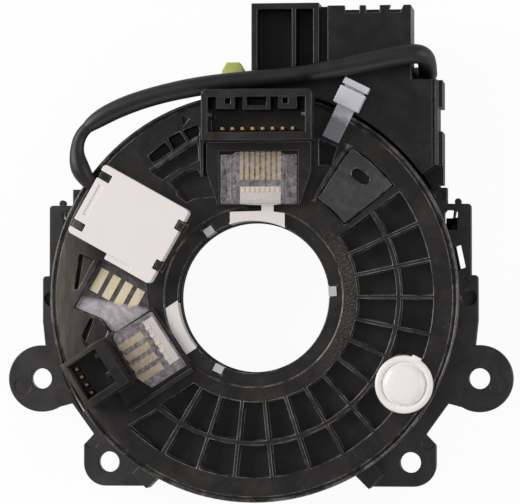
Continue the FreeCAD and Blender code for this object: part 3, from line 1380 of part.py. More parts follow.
def make_lead_sleeve():
    """Soft sleeve over the lead, from the rim beside the lid to the last run before the plug."""
    path = Part.Wire(lead_path().Edges[SLEEVE_FIRST_RUN:-1])
    outer, inner = number("lead_sleeve_radius"), number("lead_diameter / 2 + lead_sleeve_fit")
    sleeve = doc.addObject("Part::Feature", "lead_sleeve")
    sleeve.Shape = swept(path, outer).cut(swept(path, inner))
    sleeve.Label = "lead_sleeve"
    print(f"lead sleeve: path {path.Length:.1f} mm, volume {sleeve.Shape.Volume:.1f}, "
          f"section by length {math.pi * (outer ** 2 - inner ** 2) * path.Length:.1f}")
    return sleeve


def make_lead_plug():
    """Yellow-green plug at the end of the lead, with a latch rib on its front."""
    body = new_body("lead_plug")
    add(body, "plug_body", "lead_plug_back", "lead_plug_front",
        block("lead_plug_left", "lead_plug_right", "lead_plug_low", "lead_plug_high"))
    add(body, "plug_rib", "lead_plug_front - 1", "lead_plug_front + 0.8",
        block("lead_plug_left + 1.2", "lead_plug_left + 4.8",
              "(lead_plug_low + lead_plug_high) / 2 - 1", "(lead_plug_low + lead_plug_high) / 2 + 1"))
    round_corners(body, "plug_corners", "0.8", ("lead_plug_left", "lead_plug_low"),
                  ("lead_plug_left", "lead_plug_high"))
    return body


# Build, check and write every node

def check_document():
    """Stop if a feature failed or if a pocket took nothing away."""
    for item in doc.Objects:
        if "Invalid" in item.State or "Error" in item.State:
            raise RuntimeError(f"{item.Name} failed: {item.State}")
        if item.TypeId == "PartDesign::Pocket":
            if item.Shape.Volume >= item.BaseFeature.Shape.Volume - 1e-3:
                raise RuntimeError(f"{item.Name} cuts nothing")
        if item.TypeId == "PartDesign::Fillet" and not item.Base[1]:
            raise RuntimeError(f"{item.Name} rounds nothing")


def write_nodes(nodes):
    """Write each node's solid to its own file."""
    os.makedirs("parts", exist_ok=True)
    for node in nodes:
        shape = node.Shape
        if shape.isNull() or not shape.isValid() or shape.Volume <= 0:
            raise RuntimeError(f"{node.Label} has no valid shape")
        if len(shape.Solids) != 1:
            raise RuntimeError(f"{node.Label} has {len(shape.Solids)} solids")
        shape.exportStep(f"parts/{node.Label}.step")
        print(f"{node.Label}: {shape.Volume:.0f} mm3")


def main():
    nodes = [make_stator_housing(), make_rear_cover(), make_slide_sheet(), make_connector_tower()]
    nodes += [make_tower_pin(index) for index in range(TOWER_PINS)]
    nodes += [make_rotor_face(), make_rotor_sleeve(), make_ribbon_coil()]
    nodes += [make_latch(index) for index in range(LATCHES)]
    nodes += [make_top_connector(), make_top_flat_cable(), make_top_cover()]
    nodes += make_top_terminals()
    nodes += [make_side_connector(), make_side_link(), make_side_flat_cable(), make_side_cover()]
    nodes += make_side_terminals()
    nodes += [make_contact_strip(index) for index in range(CONTACTS)]
    nodes += [make_contact_film(), make_cover_plate(), make_sector_cover(), make_round_plug()]
    nodes += [make_lock_clip(), make_lead(), make_lead_sleeve(), make_lead_plug()]
    doc.recompute()
    check_document()
    write_nodes(nodes)
    print(f"{len(nodes)} nodes")


main()
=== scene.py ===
"""Looks of a steering clock spring, seen square on from the steering wheel's side.

The unit is moulded in near-black nylon with a pale cover plate, gilt contacts under clear covers, white
flat cables, a milky transport clip and a soft black lead. Lengths are in millimetres unless a name says
otherwise, in the frame of the solids: +Z along the bore towards the wheel, +Y towards the tower.
"""

from __future__ import annotations

import json
import logging
import math
from dataclasses import dataclass
from enum import Enum

import bmesh
import bpy
from mathutils import Matrix, Vector


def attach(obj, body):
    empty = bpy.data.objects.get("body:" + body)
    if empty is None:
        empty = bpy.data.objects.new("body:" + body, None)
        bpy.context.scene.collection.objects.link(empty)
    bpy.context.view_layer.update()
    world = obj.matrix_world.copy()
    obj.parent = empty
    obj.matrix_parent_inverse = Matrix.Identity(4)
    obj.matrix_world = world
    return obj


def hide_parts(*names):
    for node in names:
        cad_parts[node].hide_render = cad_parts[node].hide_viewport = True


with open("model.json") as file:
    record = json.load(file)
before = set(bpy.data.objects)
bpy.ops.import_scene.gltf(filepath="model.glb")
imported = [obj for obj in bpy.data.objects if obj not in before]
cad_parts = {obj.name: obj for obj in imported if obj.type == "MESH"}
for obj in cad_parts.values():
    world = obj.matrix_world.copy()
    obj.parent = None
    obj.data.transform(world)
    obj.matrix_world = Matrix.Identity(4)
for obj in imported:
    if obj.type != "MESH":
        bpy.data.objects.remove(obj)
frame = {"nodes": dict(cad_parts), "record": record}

log = logging.getLogger("clock_spring")

Point = tuple[float, float, float]
Socket = bpy.types.NodeSocket


def metres(millimetres: float) -> float:
    """Turn millimetres into metres.

    Args:
        millimetres: Length in millimetres.

    Returns:
        The same length in metres.
    """
    return millimetres / 1000.0


def slots_by_node() -> dict[str, str]:
    """Read from the record which slot each node has.

    Returns:
        Name of the slot by name of the node.
    """
    return {entry["node"]: entry["material_slot"] for entry in frame["record"]["subparts"]}


def linear(code: str) -> tuple[float, float, float, float]:
    """Turn a colour's sRGB hex code into the linear values that shaders take.

    Args:
        code: Six hex digits after a hash sign.

    Returns:
        Red, green and blue in linear light, and full alpha.
    """
    parts = [int(code[place:place + 2], 16) / 255.0 for place in (1, 3, 5)]
    red, green, blue = (part / 12.92 if part <= 0.04045 else ((part + 0.055) / 1.055) ** 2.4 for part in parts)
    return red, green, blue, 1.0


def add_node(tree: bpy.types.NodeTree, kind: str, values: dict[int | str, object] | None = None,
             links: dict[int | str, Socket] | None = None) -> bpy.types.Node:
    """Add a node with its settings, and link its inputs.

    Args:
        tree: Tree that the node goes into.
        kind: Blender's name for the node's type.
        values: Settings by name, and values of inputs by name or number.
        links: Sockets to link from, by the input's name or number.

    Returns:
        The new node.
    """
    made = tree.nodes.new(kind)
    for name, value in (values or {}).items():
        if isinstance(name, str) and name not in made.inputs:
            setattr(made, name, value)
        else:
            made.inputs[name].default_value = value
    for name, socket in (links or {}).items():
        tree.links.new(socket, made.inputs[name])
    return made


def add_block(name: str, lowest: Point, highest: Point) -> bpy.types.Object:
    """Add a block between two corners, with its place in its mesh, and leave it in edit mode.

    Args:
        name: Name of the new object.
        lowest: Its lowest corner.
        highest: Its highest corner.

    Returns:
        The block, all its faces selected.
    """
    bpy.ops.object.select_all(action="DESELECT")
    bpy.ops.mesh.primitive_cube_add(size=metres(1))
    made = bpy.context.object
    made.name = name
    bpy.ops.object.mode_set(mode="EDIT")
    bpy.ops.mesh.select_all(action="SELECT")
    bpy.ops.transform.resize(value=[high - low for low, high in zip(lowest, highest)])
    bpy.ops.transform.translate(value=[metres((low + high) / 2) for low, high in zip(lowest, highest)])
    return made


def select_side(made: bpy.types.Object, direction: Point, level: float) -> None:
    """Select, in edit mode, the faces that look along a direction and lie at a level or beyond.

    Args:
        made: Object in edit mode.
        direction: Unit vector that the faces' normals point along.
        level: Least place of their middles along that direction, in millimetres.
    """
    bpy.ops.mesh.select_mode(type="FACE")
    bpy.ops.mesh.select_all(action="DESELECT")
    shape = bmesh.from_edit_mesh(made.data)
    towards = Vector(direction)
    for face in shape.faces:
        face.select_set(face.normal.dot(towards) > 0.95 and face.calc_center_median().dot(towards) >= metres(level))
    bmesh.update_edit_mesh(made.data)


class Body(Enum):
    """The bodies that pieces ride on."""

    STATOR = "stator"
    ROTOR = "rotor"
    CLIP = "clip"


@dataclass(frozen=True)
class Finish:
    """Base of every finish: a named material with one Principled shader.

    Attributes:
        name: The material's common name and how its surface was made.
        colour: Main colour, as an sRGB hex code.
        roughness: Mean roughness of the surface.
    """

    name: str
    colour: str
    roughness: float

    def start(self) -> tuple[bpy.types.Material, bpy.types.NodeTree, Socket, bpy.types.Node]:
        """Make the empty material.

        Returns:
            The material, its tree, the object's coordinates and the Principled shader.
        """
        material = bpy.data.materials.new(self.name)
        material.use_nodes = True
        tree = material.node_tree
        tree.nodes.clear()
        place = add_node(tree, "ShaderNodeTexCoord").outputs["Object"]
        shader = add_node(tree, "ShaderNodeBsdfPrincipled",
                          {"Base Color": linear(self.colour), "Roughness": self.roughness})
        add_node(tree, "ShaderNodeOutputMaterial", links={"Surface": shader.outputs["BSDF"]})
        return material, tree, place, shader


@dataclass(frozen=True)
class MouldedPlastic(Finish):
    """Injection-moulded plastic: a fine spark-eroded grain, faint flow clouds and handling dust.

    Attributes:
        cloud_colour: Colour where dust or flow makes the surface paler.
        grain: Size of the mould's grain.
        grain_depth: Depth of that grain.
        cloud: Size of the clouds.
        haze: Share of the cloud colour where a cloud is thickest.
        dust_colour: Colour of the dust and scuff specks.
        dust: Size of those specks; real ones are finer, and too fine for the picture.
        dust_share: How much of a speck's colour shows.
        ior: Index of refraction.
        rounding: Radius of the moulded edges.
        worn_ring: Inner and outer radius of the ring that handling has scuffed; none where both are equal.
        worn_side: Where along x the scuffs start and where they are at their strongest.
        worn_share: Share of dust in a scuff.
        pit: Size of the scuff marks.
        painted_sheen_side: Where along x the painted sheen on the rim beside the cover plate starts, and where it is
            at its strongest.
        painted_sheen_share: Share of the dust colour that paints that sheen.
        streak: Width of the streaks in that painted sheen.
    """

    cloud_colour: str = "#3c3a39"
    grain: float = 0.55
    grain_depth: float = 0.012
    cloud: float = 9.0
    haze: float = 0.5
    dust_colour: str = "#746b62"
    dust: float = 0.7
    dust_share: float = 0.0
    ior: float = 1.53
    rounding: float = 0.18
    worn_ring: tuple[float, float] = (0.0, 0.0)
    worn_side: tuple[float, float] = (16.0, 25.0)
    worn_share: float = 0.75
    pit: float = 0.45
    painted_sheen_side: tuple[float, float] = (-40.0, -50.0)
    painted_sheen_share: float = 0.62
    streak: float = 1.2

    def wear_and_sheen(self, tree: bpy.types.NodeTree, place: Socket, share: Socket) -> Socket:
        """Add the scuffs of the worn ring, and the painted sheen on the rim's left side, to the dust.

        Args:
            tree: Tree of the material.
            place: The object's coordinates.
            share: Share of dust without the scuffs and the painted sheen.

        Returns:
            Share of dust with the scuffs and the painted sheen.
        """
        inner, outer = self.worn_ring
        flat = add_node(tree, "ShaderNodeVectorMath", {"operation": "MULTIPLY", 1: (1.0, 1.0, 0.0)}, {0: place})
        radius = add_node(tree, "ShaderNodeVectorMath", {"operation": "LENGTH"}, {0: flat.outputs["Vector"]})
        middle, half = metres((inner + outer) / 2), metres((outer - inner) / 2)
        away = add_node(tree, "ShaderNodeMath", {"operation": "SUBTRACT", 1: middle}, {0: radius.outputs["Value"]})
        size = add_node(tree, "ShaderNodeMath", {"operation": "ABSOLUTE"}, {0: away.outputs[0]})
        ring = add_node(tree, "ShaderNodeMapRange", {"From Min": half, "From Max": 0.6 * half, "To Max": 1.0},
                        {"Value": size.outputs[0]})
        axes = add_node(tree, "ShaderNodeSeparateXYZ", links={"Vector": place})
        start, strongest = self.worn_side
        side = add_node(tree, "ShaderNodeMapRange", {"From Min": metres(start), "From Max": metres(strongest),
                                                     "To Max": 1.0}, {"Value": axes.outputs["X"]})
        area = add_node(tree, "ShaderNodeMath", {"operation": "MULTIPLY"},
                        {0: ring.outputs["Result"], 1: side.outputs["Result"]})
        pits = add_node(tree, "ShaderNodeTexNoise", {"Scale": 1 / metres(self.pit), "Detail": 4.0, "Roughness": 0.8},
                        {"Vector": place})
        bright = add_node(tree, "ShaderNodeMapRange",
                          {"From Min": 0.5, "From Max": 0.62, "To Max": self.worn_share},
                          {"Value": pits.outputs["Fac"]})
        scuffed = add_node(tree, "ShaderNodeMath", {"operation": "MULTIPLY"},
                           {0: area.outputs[0], 1: bright.outputs["Result"]})
        both = add_node(tree, "ShaderNodeMath", {"operation": "MAXIMUM"}, {0: share, 1: scuffed.outputs[0]})
        # The rim beside the cover plate is painted paler in long faint streaks of the dust colour: a painted sheen.
        start, strongest = self.painted_sheen_side
        beside = add_node(tree, "ShaderNodeMapRange", {"From Min": metres(start), "From Max": metres(strongest),
                                                       "To Max": self.painted_sheen_share}, {"Value": axes.outputs["X"]})
        long_way = add_node(tree, "ShaderNodeMapping", {"Scale": (1.0, 0.12, 1.0)}, {"Vector": place})
        streaks = add_node(tree, "ShaderNodeTexNoise", {"Scale": 1 / metres(self.streak), "Detail": 4.0},
                           {"Vector": long_way.outputs["Vector"]})
        patchy_sheen = add_node(tree, "ShaderNodeMapRange", {"From Min": 0.3, "From Max": 0.6, "To Min": 0.5,
                                                       "To Max": 1.0}, {"Value": streaks.outputs["Fac"]})
        # Mask of the painted sheen: paler towards the rim's left side, in streaks.
        dull = add_node(tree, "ShaderNodeMath", {"operation": "MULTIPLY"},
                        {0: beside.outputs["Result"], 1: patchy_sheen.outputs["Result"]})
        every = add_node(tree, "ShaderNodeMath", {"operation": "MAXIMUM"}, {0: both.outputs[0], 1: dull.outputs[0]})
        return every.outputs[0]

    def build(self) -> bpy.types.Material:
        """Make the material."""
        material, tree, place, shader = self.start()
        shader.inputs["IOR"].default_value = self.ior
        clouds = add_node(tree, "ShaderNodeTexNoise",
                          {"Scale": 1 / metres(self.cloud), "Detail": 5.0, "Roughness": 0.62, "Distortion": 0.6},
                          {"Vector": place})
        thick = add_node(tree, "ShaderNodeMapRange", {"From Min": 0.42, "From Max": 0.78, "To Max": self.haze},
                         {"Value": clouds.outputs["Fac"]})
        colour = add_node(tree, "ShaderNodeMix", {"data_type": "RGBA", 6: linear(self.colour),
                                                  7: linear(self.cloud_colour)},
                          {0: thick.outputs["Result"]})
        specks = add_node(tree, "ShaderNodeTexNoise",
                          {"Scale": 1 / metres(self.dust), "Detail": 6.0, "Roughness": 0.7}, {"Vector": place})
        share = add_node(tree, "ShaderNodeMapRange", {"From Min": 0.6, "From Max": 0.75,
                                                      "To Max": self.dust_share},
                         {"Value": specks.outputs["Fac"]})
        dust = share.outputs["Result"]
        # The scuffs and the painted sheen on the rim's left side both go into the dust share here.
        if self.worn_ring[1] > self.worn_ring[0]:
            dust = self.wear_and_sheen(tree, place, dust)
        dust_and_sheen = add_node(tree, "ShaderNodeMix", {"data_type": "RGBA", 7: linear(self.dust_colour)},
                         {0: dust, 6: colour.outputs[2]})
        tree.links.new(dust_and_sheen.outputs[2], shader.inputs["Base Color"])
        sheen = add_node(tree, "ShaderNodeMapRange",
                         {"From Min": 0.3, "From Max": 0.75, "To Min": self.roughness - 0.06,
                          "To Max": self.roughness + 0.1}, {"Value": clouds.outputs["Fac"]})
        tree.links.new(sheen.outputs["Result"], shader.inputs["Roughness"])
        grain = add_node(tree, "ShaderNodeTexNoise", {"Scale": 1 / metres(self.grain), "Detail": 2.0},
                         {"Vector": place})
        rounded = add_node(tree, "ShaderNodeBevel", {"samples": 4, "Radius": metres(self.rounding)})
        bump = add_node(tree, "ShaderNodeBump", {"Strength": 0.6, "Distance": metres(self.grain_depth)},
                        {"Height": grain.outputs["Fac"], "Normal": rounded.outputs["Normal"]})
        tree.links.new(bump.outputs["Normal"], shader.inputs["Normal"])
        return material


@dataclass(frozen=True)
class ThinClipPlastic(MouldedPlastic):
    """Natural plastic that is milky where it is thick and lets the dark face show where it is thin.

    Attributes:
        thin_colour: Colour of the thin foot over the dark face.
        thin_to: Distance from the bore's axis where the thin foot ends.
    """

    thin_colour: str = "#85838a"
    thin_to: float = 52.5

    def build(self) -> bpy.types.Material:
        """Make the material."""
        material = super().build()
        tree = material.node_tree
        shader = next(node for node in tree.nodes if node.type == "BSDF_PRINCIPLED")
        thick_colour = shader.inputs["Base Color"].links[0].from_socket
        place = add_node(tree, "ShaderNodeTexCoord").outputs["Object"]
        flat = add_node(tree, "ShaderNodeVectorMath", {"operation": "MULTIPLY", 1: (1.0, 1.0, 0.0)}, {0: place})
        radius = add_node(tree, "ShaderNodeVectorMath", {"operation": "LENGTH"}, {0: flat.outputs["Vector"]})
        folds = add_node(tree, "ShaderNodeTexNoise", {"Scale": 1 / metres(1.4), "Detail": 2.0}, {"Vector": place})
        uneven = add_node(tree, "ShaderNodeMath", {"operation": "MULTIPLY_ADD", 1: metres(3.0)},
                          {0: folds.outputs["Fac"], 2: radius.outputs["Value"]})
        thick = add_node(tree, "ShaderNodeMapRange", {"From Min": metres(self.thin_to),
                                                      "From Max": metres(self.thin_to + 1.8)},
                         {"Value": uneven.outputs[0]})
        colour = add_node(tree, "ShaderNodeMix", {"data_type": "RGBA", 6: linear(self.thin_colour)},
                          {0: thick.outputs["Result"], 7: thick_colour})
        tree.links.new(colour.outputs[2], shader.inputs["Base Color"])
        return material


@dataclass(frozen=True)
class GiltMetal(Finish):
    """Copper strip with a thin gold flash: rolled along its length, a little uneven in shine.

    Attributes:
        dull_colour: Colour of the duller patches.
        streak: Width of the rolling marks.
        metallic: Share that mirrors; the rest is plain diffuse colour.
    """

    dull_colour: str = "#a9865a"
    streak: float = 0.5
    metallic: float = 1.0

    def build(self) -> bpy.types.Material:
        """Make the material."""
        material, tree, place, shader = self.start()
        shader.inputs["Metallic"].default_value = self.metallic
        marks = add_node(tree, "ShaderNodeTexNoise", {"Scale": 1 / metres(self.streak), "Detail": 3.0},
                         {"Vector": place})
        dull = add_node(tree, "ShaderNodeMapRange", {"From Min": 0.45, "From Max": 0.8, "To Max": 0.7},
                        {"Value": marks.outputs["Fac"]})
        colour = add_node(tree, "ShaderNodeMix", {"data_type": "RGBA", 6: linear(self.colour),
                                                  7: linear(self.dull_colour)},
                          {0: dull.outputs["Result"]})
        tree.links.new(colour.outputs[2], shader.inputs["Base Color"])
        bump = add_node(tree, "ShaderNodeBump", {"Strength": 0.3, "Distance": metres(0.02)},
                        {"Height": marks.outputs["Fac"]})
        tree.links.new(bump.outputs["Normal"], shader.inputs["Normal"])
        return material


@dataclass(frozen=True)
class ClearPlastic(Finish):
    """Clear moulded plastic that has gone a little cloudy: what lies under it still shows.

    Attributes:
        clearest: Opacity where the plastic is clearest.
        cloudiest: Opacity where it is cloudiest.
        cloud: Size of the cloudy patches.
        ripple: Depth of the uneven surface that breaks up reflections.
        edge_opacity: Opacity where the plastic is seen edge on, through more of it.
        haze_towards: Direction across the piece in which the film goes cloudy; none where it is zero.
        haze_from: Place along that direction where the cloudy part starts.
        haze_opacity: Opacity of the cloudy part.
    """

    clearest: float = 0.04
    cloudiest: float = 0.3
    cloud: float = 3.0
    ripple: float = 0.05
    edge_opacity: float = 0.75
    haze_towards: tuple[float, float] = (0.0, 0.0)
    haze_from: float = 0.0
    haze_opacity: float = 0.0

    def cloudy_end(self, tree: bpy.types.NodeTree, place: Socket, clouds: Socket) -> Socket:
        """Work out the opacity of the film's cloudy end.

        Args:
            tree: Tree of the material.
            place: The object's coordinates.
            clouds: Height of the clouds.

        Returns:
            Opacity, nought outside the cloudy end.
        """
        along = add_node(tree, "ShaderNodeVectorMath", {"operation": "DOT_PRODUCT", 1: (*self.haze_towards, 0.0)},
                         {0: place})
        start = add_node(tree, "ShaderNodeMapRange", {"From Min": metres(self.haze_from),
                                                      "From Max": metres(self.haze_from + 1.6),
                                                      "To Max": self.haze_opacity},
                         {"Value": along.outputs["Value"]})
        uneven = add_node(tree, "ShaderNodeMapRange", {"From Min": 0.3, "From Max": 0.65, "To Min": 0.45,
                                                       "To Max": 1.0}, {"Value": clouds})
        both = add_node(tree, "ShaderNodeMath", {"operation": "MULTIPLY"},
                        {0: start.outputs["Result"], 1: uneven.outputs["Result"]})
        return both.outputs[0]

    def build(self) -> bpy.types.Material:
        """Make the material."""
        material, tree, place, shader = self.start()
        clouds = add_node(tree, "ShaderNodeTexNoise",
                          {"Scale": 1 / metres(self.cloud), "Detail": 4.0, "Distortion": 0.8}, {"Vector": place})
        alpha = add_node(tree, "ShaderNodeMapRange", {"From Min": 0.35, "From Max": 0.75, "To Min": self.clearest,
                                                      "To Max": self.cloudiest},
                         {"Value": clouds.outputs["Fac"]})
        slant = add_node(tree, "ShaderNodeLayerWeight", {"Blend": 0.35})
        edges = add_node(tree, "ShaderNodeMapRange", {"From Min": 0.25, "From Max": 0.9,
                                                      "To Max": self.edge_opacity},
                         {"Value": slant.outputs["Facing"]})
        opacity = add_node(tree, "ShaderNodeMath", {"operation": "MAXIMUM"},
                           {0: alpha.outputs["Result"], 1: edges.outputs["Result"]})
        if self.haze_opacity > 0.0:
            hazy = self.cloudy_end(tree, place, clouds.outputs["Fac"])
            opacity = add_node(tree, "ShaderNodeMath", {"operation": "MAXIMUM"}, {0: opacity.outputs[0], 1: hazy})
        tree.links.new(opacity.outputs[0], shader.inputs["Alpha"])
        bump = add_node(tree, "ShaderNodeBump", {"Strength": 0.8, "Distance": metres(self.ripple)},
                        {"Height": clouds.outputs["Fac"]})
        tree.links.new(bump.outputs["Normal"], shader.inputs["Normal"])
        return material


class Finishes:
    """Every finish of the unit, made once."""

    def __init__(self) -> None:
        """Make the materials by the names of the record's slots, and those of the rounded edges."""
        # Glass-filled nylon: near black with a grey bloom, satin from the mould's fine texture.
        # Its rim left of the bore is painted paler in streaks of the dust colour, as a painted sheen.
        rotor = MouldedPlastic("Glass-filled nylon, moulded black", "#191818", 0.36, dust_share=0.5,
                               cloud_colour="#3c3530", worn_ring=(23.4, 27.4)).build()
        # The same nylon from a coarser mould, greyer because its grain scatters more light.
        stator = MouldedPlastic("Glass-filled nylon, textured black", "#2c2a29", 0.44, grain=0.8,
                                grain_depth=0.03, cloud_colour="#4b4948", dust_share=0.4).build()
        # The tower's mould is polished, so it looks blacker than the plate it stands on.
        tower = MouldedPlastic("Glass-filled nylon, glossy black", "#111010", 0.4, dust_share=0.25,
                               cloud_colour="#2b2827").build()
        self.by_slot = {
            "black_housing": rotor,
            "stator": stator,
            "tower": tower,
            "black_cover": stator,
            # Thin PTFE sheet, skived: milky and waxy.
            "natural_sheet": MouldedPlastic("PTFE, skived sheet", "#cfcbc2", 0.5, cloud_colour="#d8d5cd",
                                            rounding=0.02).build(),
            # Laminated polyester: smooth, slightly shiny.
            "ribbon": MouldedPlastic("Polyester ribbon, laminated", "#dcd8d0", 0.28, cloud_colour="#e8e4dc",
                                     grain_depth=0.002, rounding=0.02).build(),
            "flat_cable": MouldedPlastic("Polyester flat cable, laminated", "#e3dcd8", 0.32,
                                         cloud_colour="#ece6e2", grain_depth=0.003, rounding=0.05).build(),
            # Near white and hardly mirroring: a painted reflection that stands in for the shine of the gold in its
            # shaded window.
            "gilt_contact": GiltMetal("Copper strip, gold flashed", "#fff0cf", 0.4,
                                      dull_colour="#eccf9c", metallic=0.1).build(),
            "tinned_terminal": GiltMetal("Brass terminal, gold flashed", "#e6c98e", 0.4,
                                         metallic=0.6).build(),
            "contact_film": ClearPlastic("Polycarbonate film, cloudy at its fold", "#cfc8cc", 0.22, clearest=0.03,
                                         cloudiest=0.12, cloud=1.6, haze_towards=(-0.18, -0.98), haze_from=7.4,
                                         haze_opacity=0.85).build(),
            # The covers over the solder joints are thicker, scuffed and rippled, so they glint.
            "joint_cover": ClearPlastic("Polycarbonate, moulded clear", "#d6ced0", 0.12, clearest=0.05,
                                        cloudiest=0.34, cloud=1.3, ripple=0.16, edge_opacity=0.85).build(),
            # ABS cover: opaque, pale warm grey, fine matt grain.
            "white_cover": MouldedPlastic("ABS, moulded pale grey", "#eee6e3", 0.42, cloud_colour="#e6dedb",
                                          grain_depth=0.006, haze=0.6, cloud=14.0).build(),
            "grey_cover": MouldedPlastic("Polyester, moulded smoke grey", "#3b3b3d", 0.3,
                                         cloud_colour="#5a595c", grain=0.4, cloud=3.0).build(),
            # Acetal plug: whiter and waxier than the cover plate.
            "white_plug": MouldedPlastic("Acetal, moulded white", "#f6f1ee", 0.3, cloud_colour="#e6e2dc",
                                         grain_depth=0.003, rounding=0.25).build(),
            "pale_latch": MouldedPlastic("Nylon, moulded natural", "#bdbbc0", 0.34, cloud_colour="#a9a7ad",
                                         grain_depth=0.004).build(),
            "clip_plastic": ThinClipPlastic("Polypropylene, moulded natural", "#cecdd3", 0.28,
                                            cloud_colour="#b3b1b9", grain_depth=0.004).build(),
            "lead_sleeve": MouldedPlastic("PVC sleeve, extruded black", "#0d0c0c", 0.5, cloud_colour="#201e1e",
                                          cloud=5.0, rounding=0.0).build(),
            "yellow_plug": MouldedPlastic("Nylon, moulded yellow-green", "#bcc05c", 0.34,
                                          cloud_colour="#dcdd94", grain_depth=0.004).build(),
        }

        # The rounded edges of the face and the sector cover are painted paler than the flats, as painted highlights,
        # and are shinier.
        painted_highlight_edges = MouldedPlastic("Glass-filled nylon, edges painted pale as highlights", "#262525", 0.27, cloud_colour="#928c86",
                                haze=0.85, cloud=4.0, grain_depth=0.004, rounding=0.02).build()
        # The other pieces' rounded edges get a fainter painted highlight, only a little paler than the flats.
        faint_highlight_edges = MouldedPlastic("Glass-filled nylon, edges as moulded", "#242323", 0.32, cloud_colour="#4f4b48",
                               cloud=4.0, grain_depth=0.004, rounding=0.02).build()
        self.edges = {"rotor_face": painted_highlight_edges, "sector_cover": painted_highlight_edges, "top_connector": faint_highlight_edges,
                      "side_connector": faint_highlight_edges, "connector_tower": faint_highlight_edges, "stator_housing": faint_highlight_edges}

    def dress(self) -> None:
        """Give every solid that still shows the finish of its slot."""
        slots = slots_by_node()
        for name, solid in frame["nodes"].items():
            slot = slots[name]
            if name == "stator_housing":
                slot = "stator"
            elif name == "connector_tower":
                slot = "tower"
            elif name == "contact_film":
                slot = name
            elif name.endswith("joint_cover"):
                slot = "joint_cover"
            solid.data.materials.clear()
            solid.data.materials.append(self.by_slot[slot])


@dataclass(frozen=True)
class RoundedEdges:
    """Moulded pieces whose sharp edges are rounded as the mould leaves them, so that they catch the light.

    Attributes:
        widths: Width of the rounding by the piece's node.
        steepest: Least angle between two faces that makes an edge, in degrees.
        left_cut: Nodes whose flats stay in triangles, because their floors go round many openings.
        straight_on: Angle from which two edges count as one line, in degrees.
        room: Length that a neighbouring edge needs for the full rounding, as a share of the width.
    """

    widths: tuple[tuple[str, float], ...] = (
        ("rotor_face", 0.24), ("stator_housing", 0.25), ("connector_tower", 0.22), ("top_connector", 0.2),
        ("side_connector", 0.2), ("cover_plate", 0.2), ("sector_cover", 0.2), ("lock_clip", 0.2),
        ("top_joint_cover", 0.3), ("side_joint_cover", 0.3))
    steepest: float = 35.0
    left_cut: tuple[str, ...] = ("rotor_face", "top_connector")
    straight_on: float = 150.0
    room: float = 2.3

    def weigh_edges(self, mesh: bpy.types.Mesh, width: float) -> None:
        """Give each sharp edge as much of the rounding as the shallow steps beside it leave room for.

        Args:
            mesh: Mesh whose doubles are merged.
            width: Width of the rounding.
        """
        shape = bmesh.new()
        shape.from_mesh(mesh)
        weights = shape.edges.layers.float.new("bevel_weight_edge")
        for edge in shape.edges:
            if len(edge.link_faces) != 2 or edge.calc_face_angle(0.0) < math.radians(self.steepest):
                continue
            room = 1.0
            for face in edge.link_faces:
                for corner in edge.verts:
                    beside = next(other for other in corner.link_edges
                                  if other is not edge and face in other.link_faces)
                    one_way = edge.other_vert(corner).co - corner.co
                    other_way = beside.other_vert(corner).co - corner.co
                    if one_way.angle(other_way, 0.0) < math.radians(self.straight_on):
                        room = min(room, beside.calc_length() / metres(self.room * width))
            edge[weights] = room
        shape.to_mesh(mesh)
        shape.free()

    def soften(self, node: str, width: float, edge_finish: bpy.types.Material | None) -> bpy.types.Object:
        """Make one piece's rounded copy and let it stand for the node.

        Args:
            node: Name of the node.
            width: Width of the rounding.
            edge_finish: Material of the rounded edges, where it isn't that of the flats.

        Returns:
            The new piece.
        """
        solid = frame["nodes"][node]
        piece = solid.copy()
        piece.data = solid.data.copy()
        piece.name = f"{node}_moulded"
        bpy.context.collection.objects.link(piece)
        bpy.ops.object.select_all(action="DESELECT")
        piece.hide_set(False)
        piece.select_set(True)
        bpy.context.view_layer.objects.active = piece
        bpy.ops.object.mode_set(mode="EDIT")
        bpy.ops.mesh.select_all(action="SELECT")
        bpy.ops.mesh.remove_doubles(threshold=metres(0.002))
        if node not in self.left_cut:
            bpy.ops.mesh.dissolve_limited(angle_limit=math.radians(0.6))
        bpy.ops.mesh.normals_make_consistent(inside=False)
        bpy.ops.object.mode_set(mode="OBJECT")
        self.weigh_edges(piece.data, width)
        rounding = piece.modifiers.new("rounding", "BEVEL")
        rounding.width = metres(width)
        rounding.segments = 2
        rounding.limit_method = "WEIGHT"
        rounding.use_clamp_overlap = False
        rounding.loop_slide = False
        if edge_finish is not None:
            piece.data.materials.append(edge_finish)
            rounding.material = 1
        bpy.ops.object.modifier_apply(modifier="rounding")
        bpy.ops.object.shade_smooth_by_angle(angle=math.radians(50))
        flats = piece.modifiers.new("flats", "WEIGHTED_NORMAL")
        flats.weight = 100
        flats.keep_sharp = True
        bpy.ops.object.modifier_apply(modifier="flats")
        return piece

    def build(self, finishes: Finishes) -> None:
        """Round every piece in the list.

        Args:
            finishes: Finishes of the unit.
        """
        bodies = {node: body for body, nodes in frame["record"]["behaviour"]["bodies"].items() for node in nodes}
        for node, width in self.widths:
            piece = self.soften(node, width, finishes.edges.get(node))
            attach(piece, Body(bodies[node]).value)
            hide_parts(node)
            log.info("%s: %d faces", piece.name, len(piece.data.polygons))


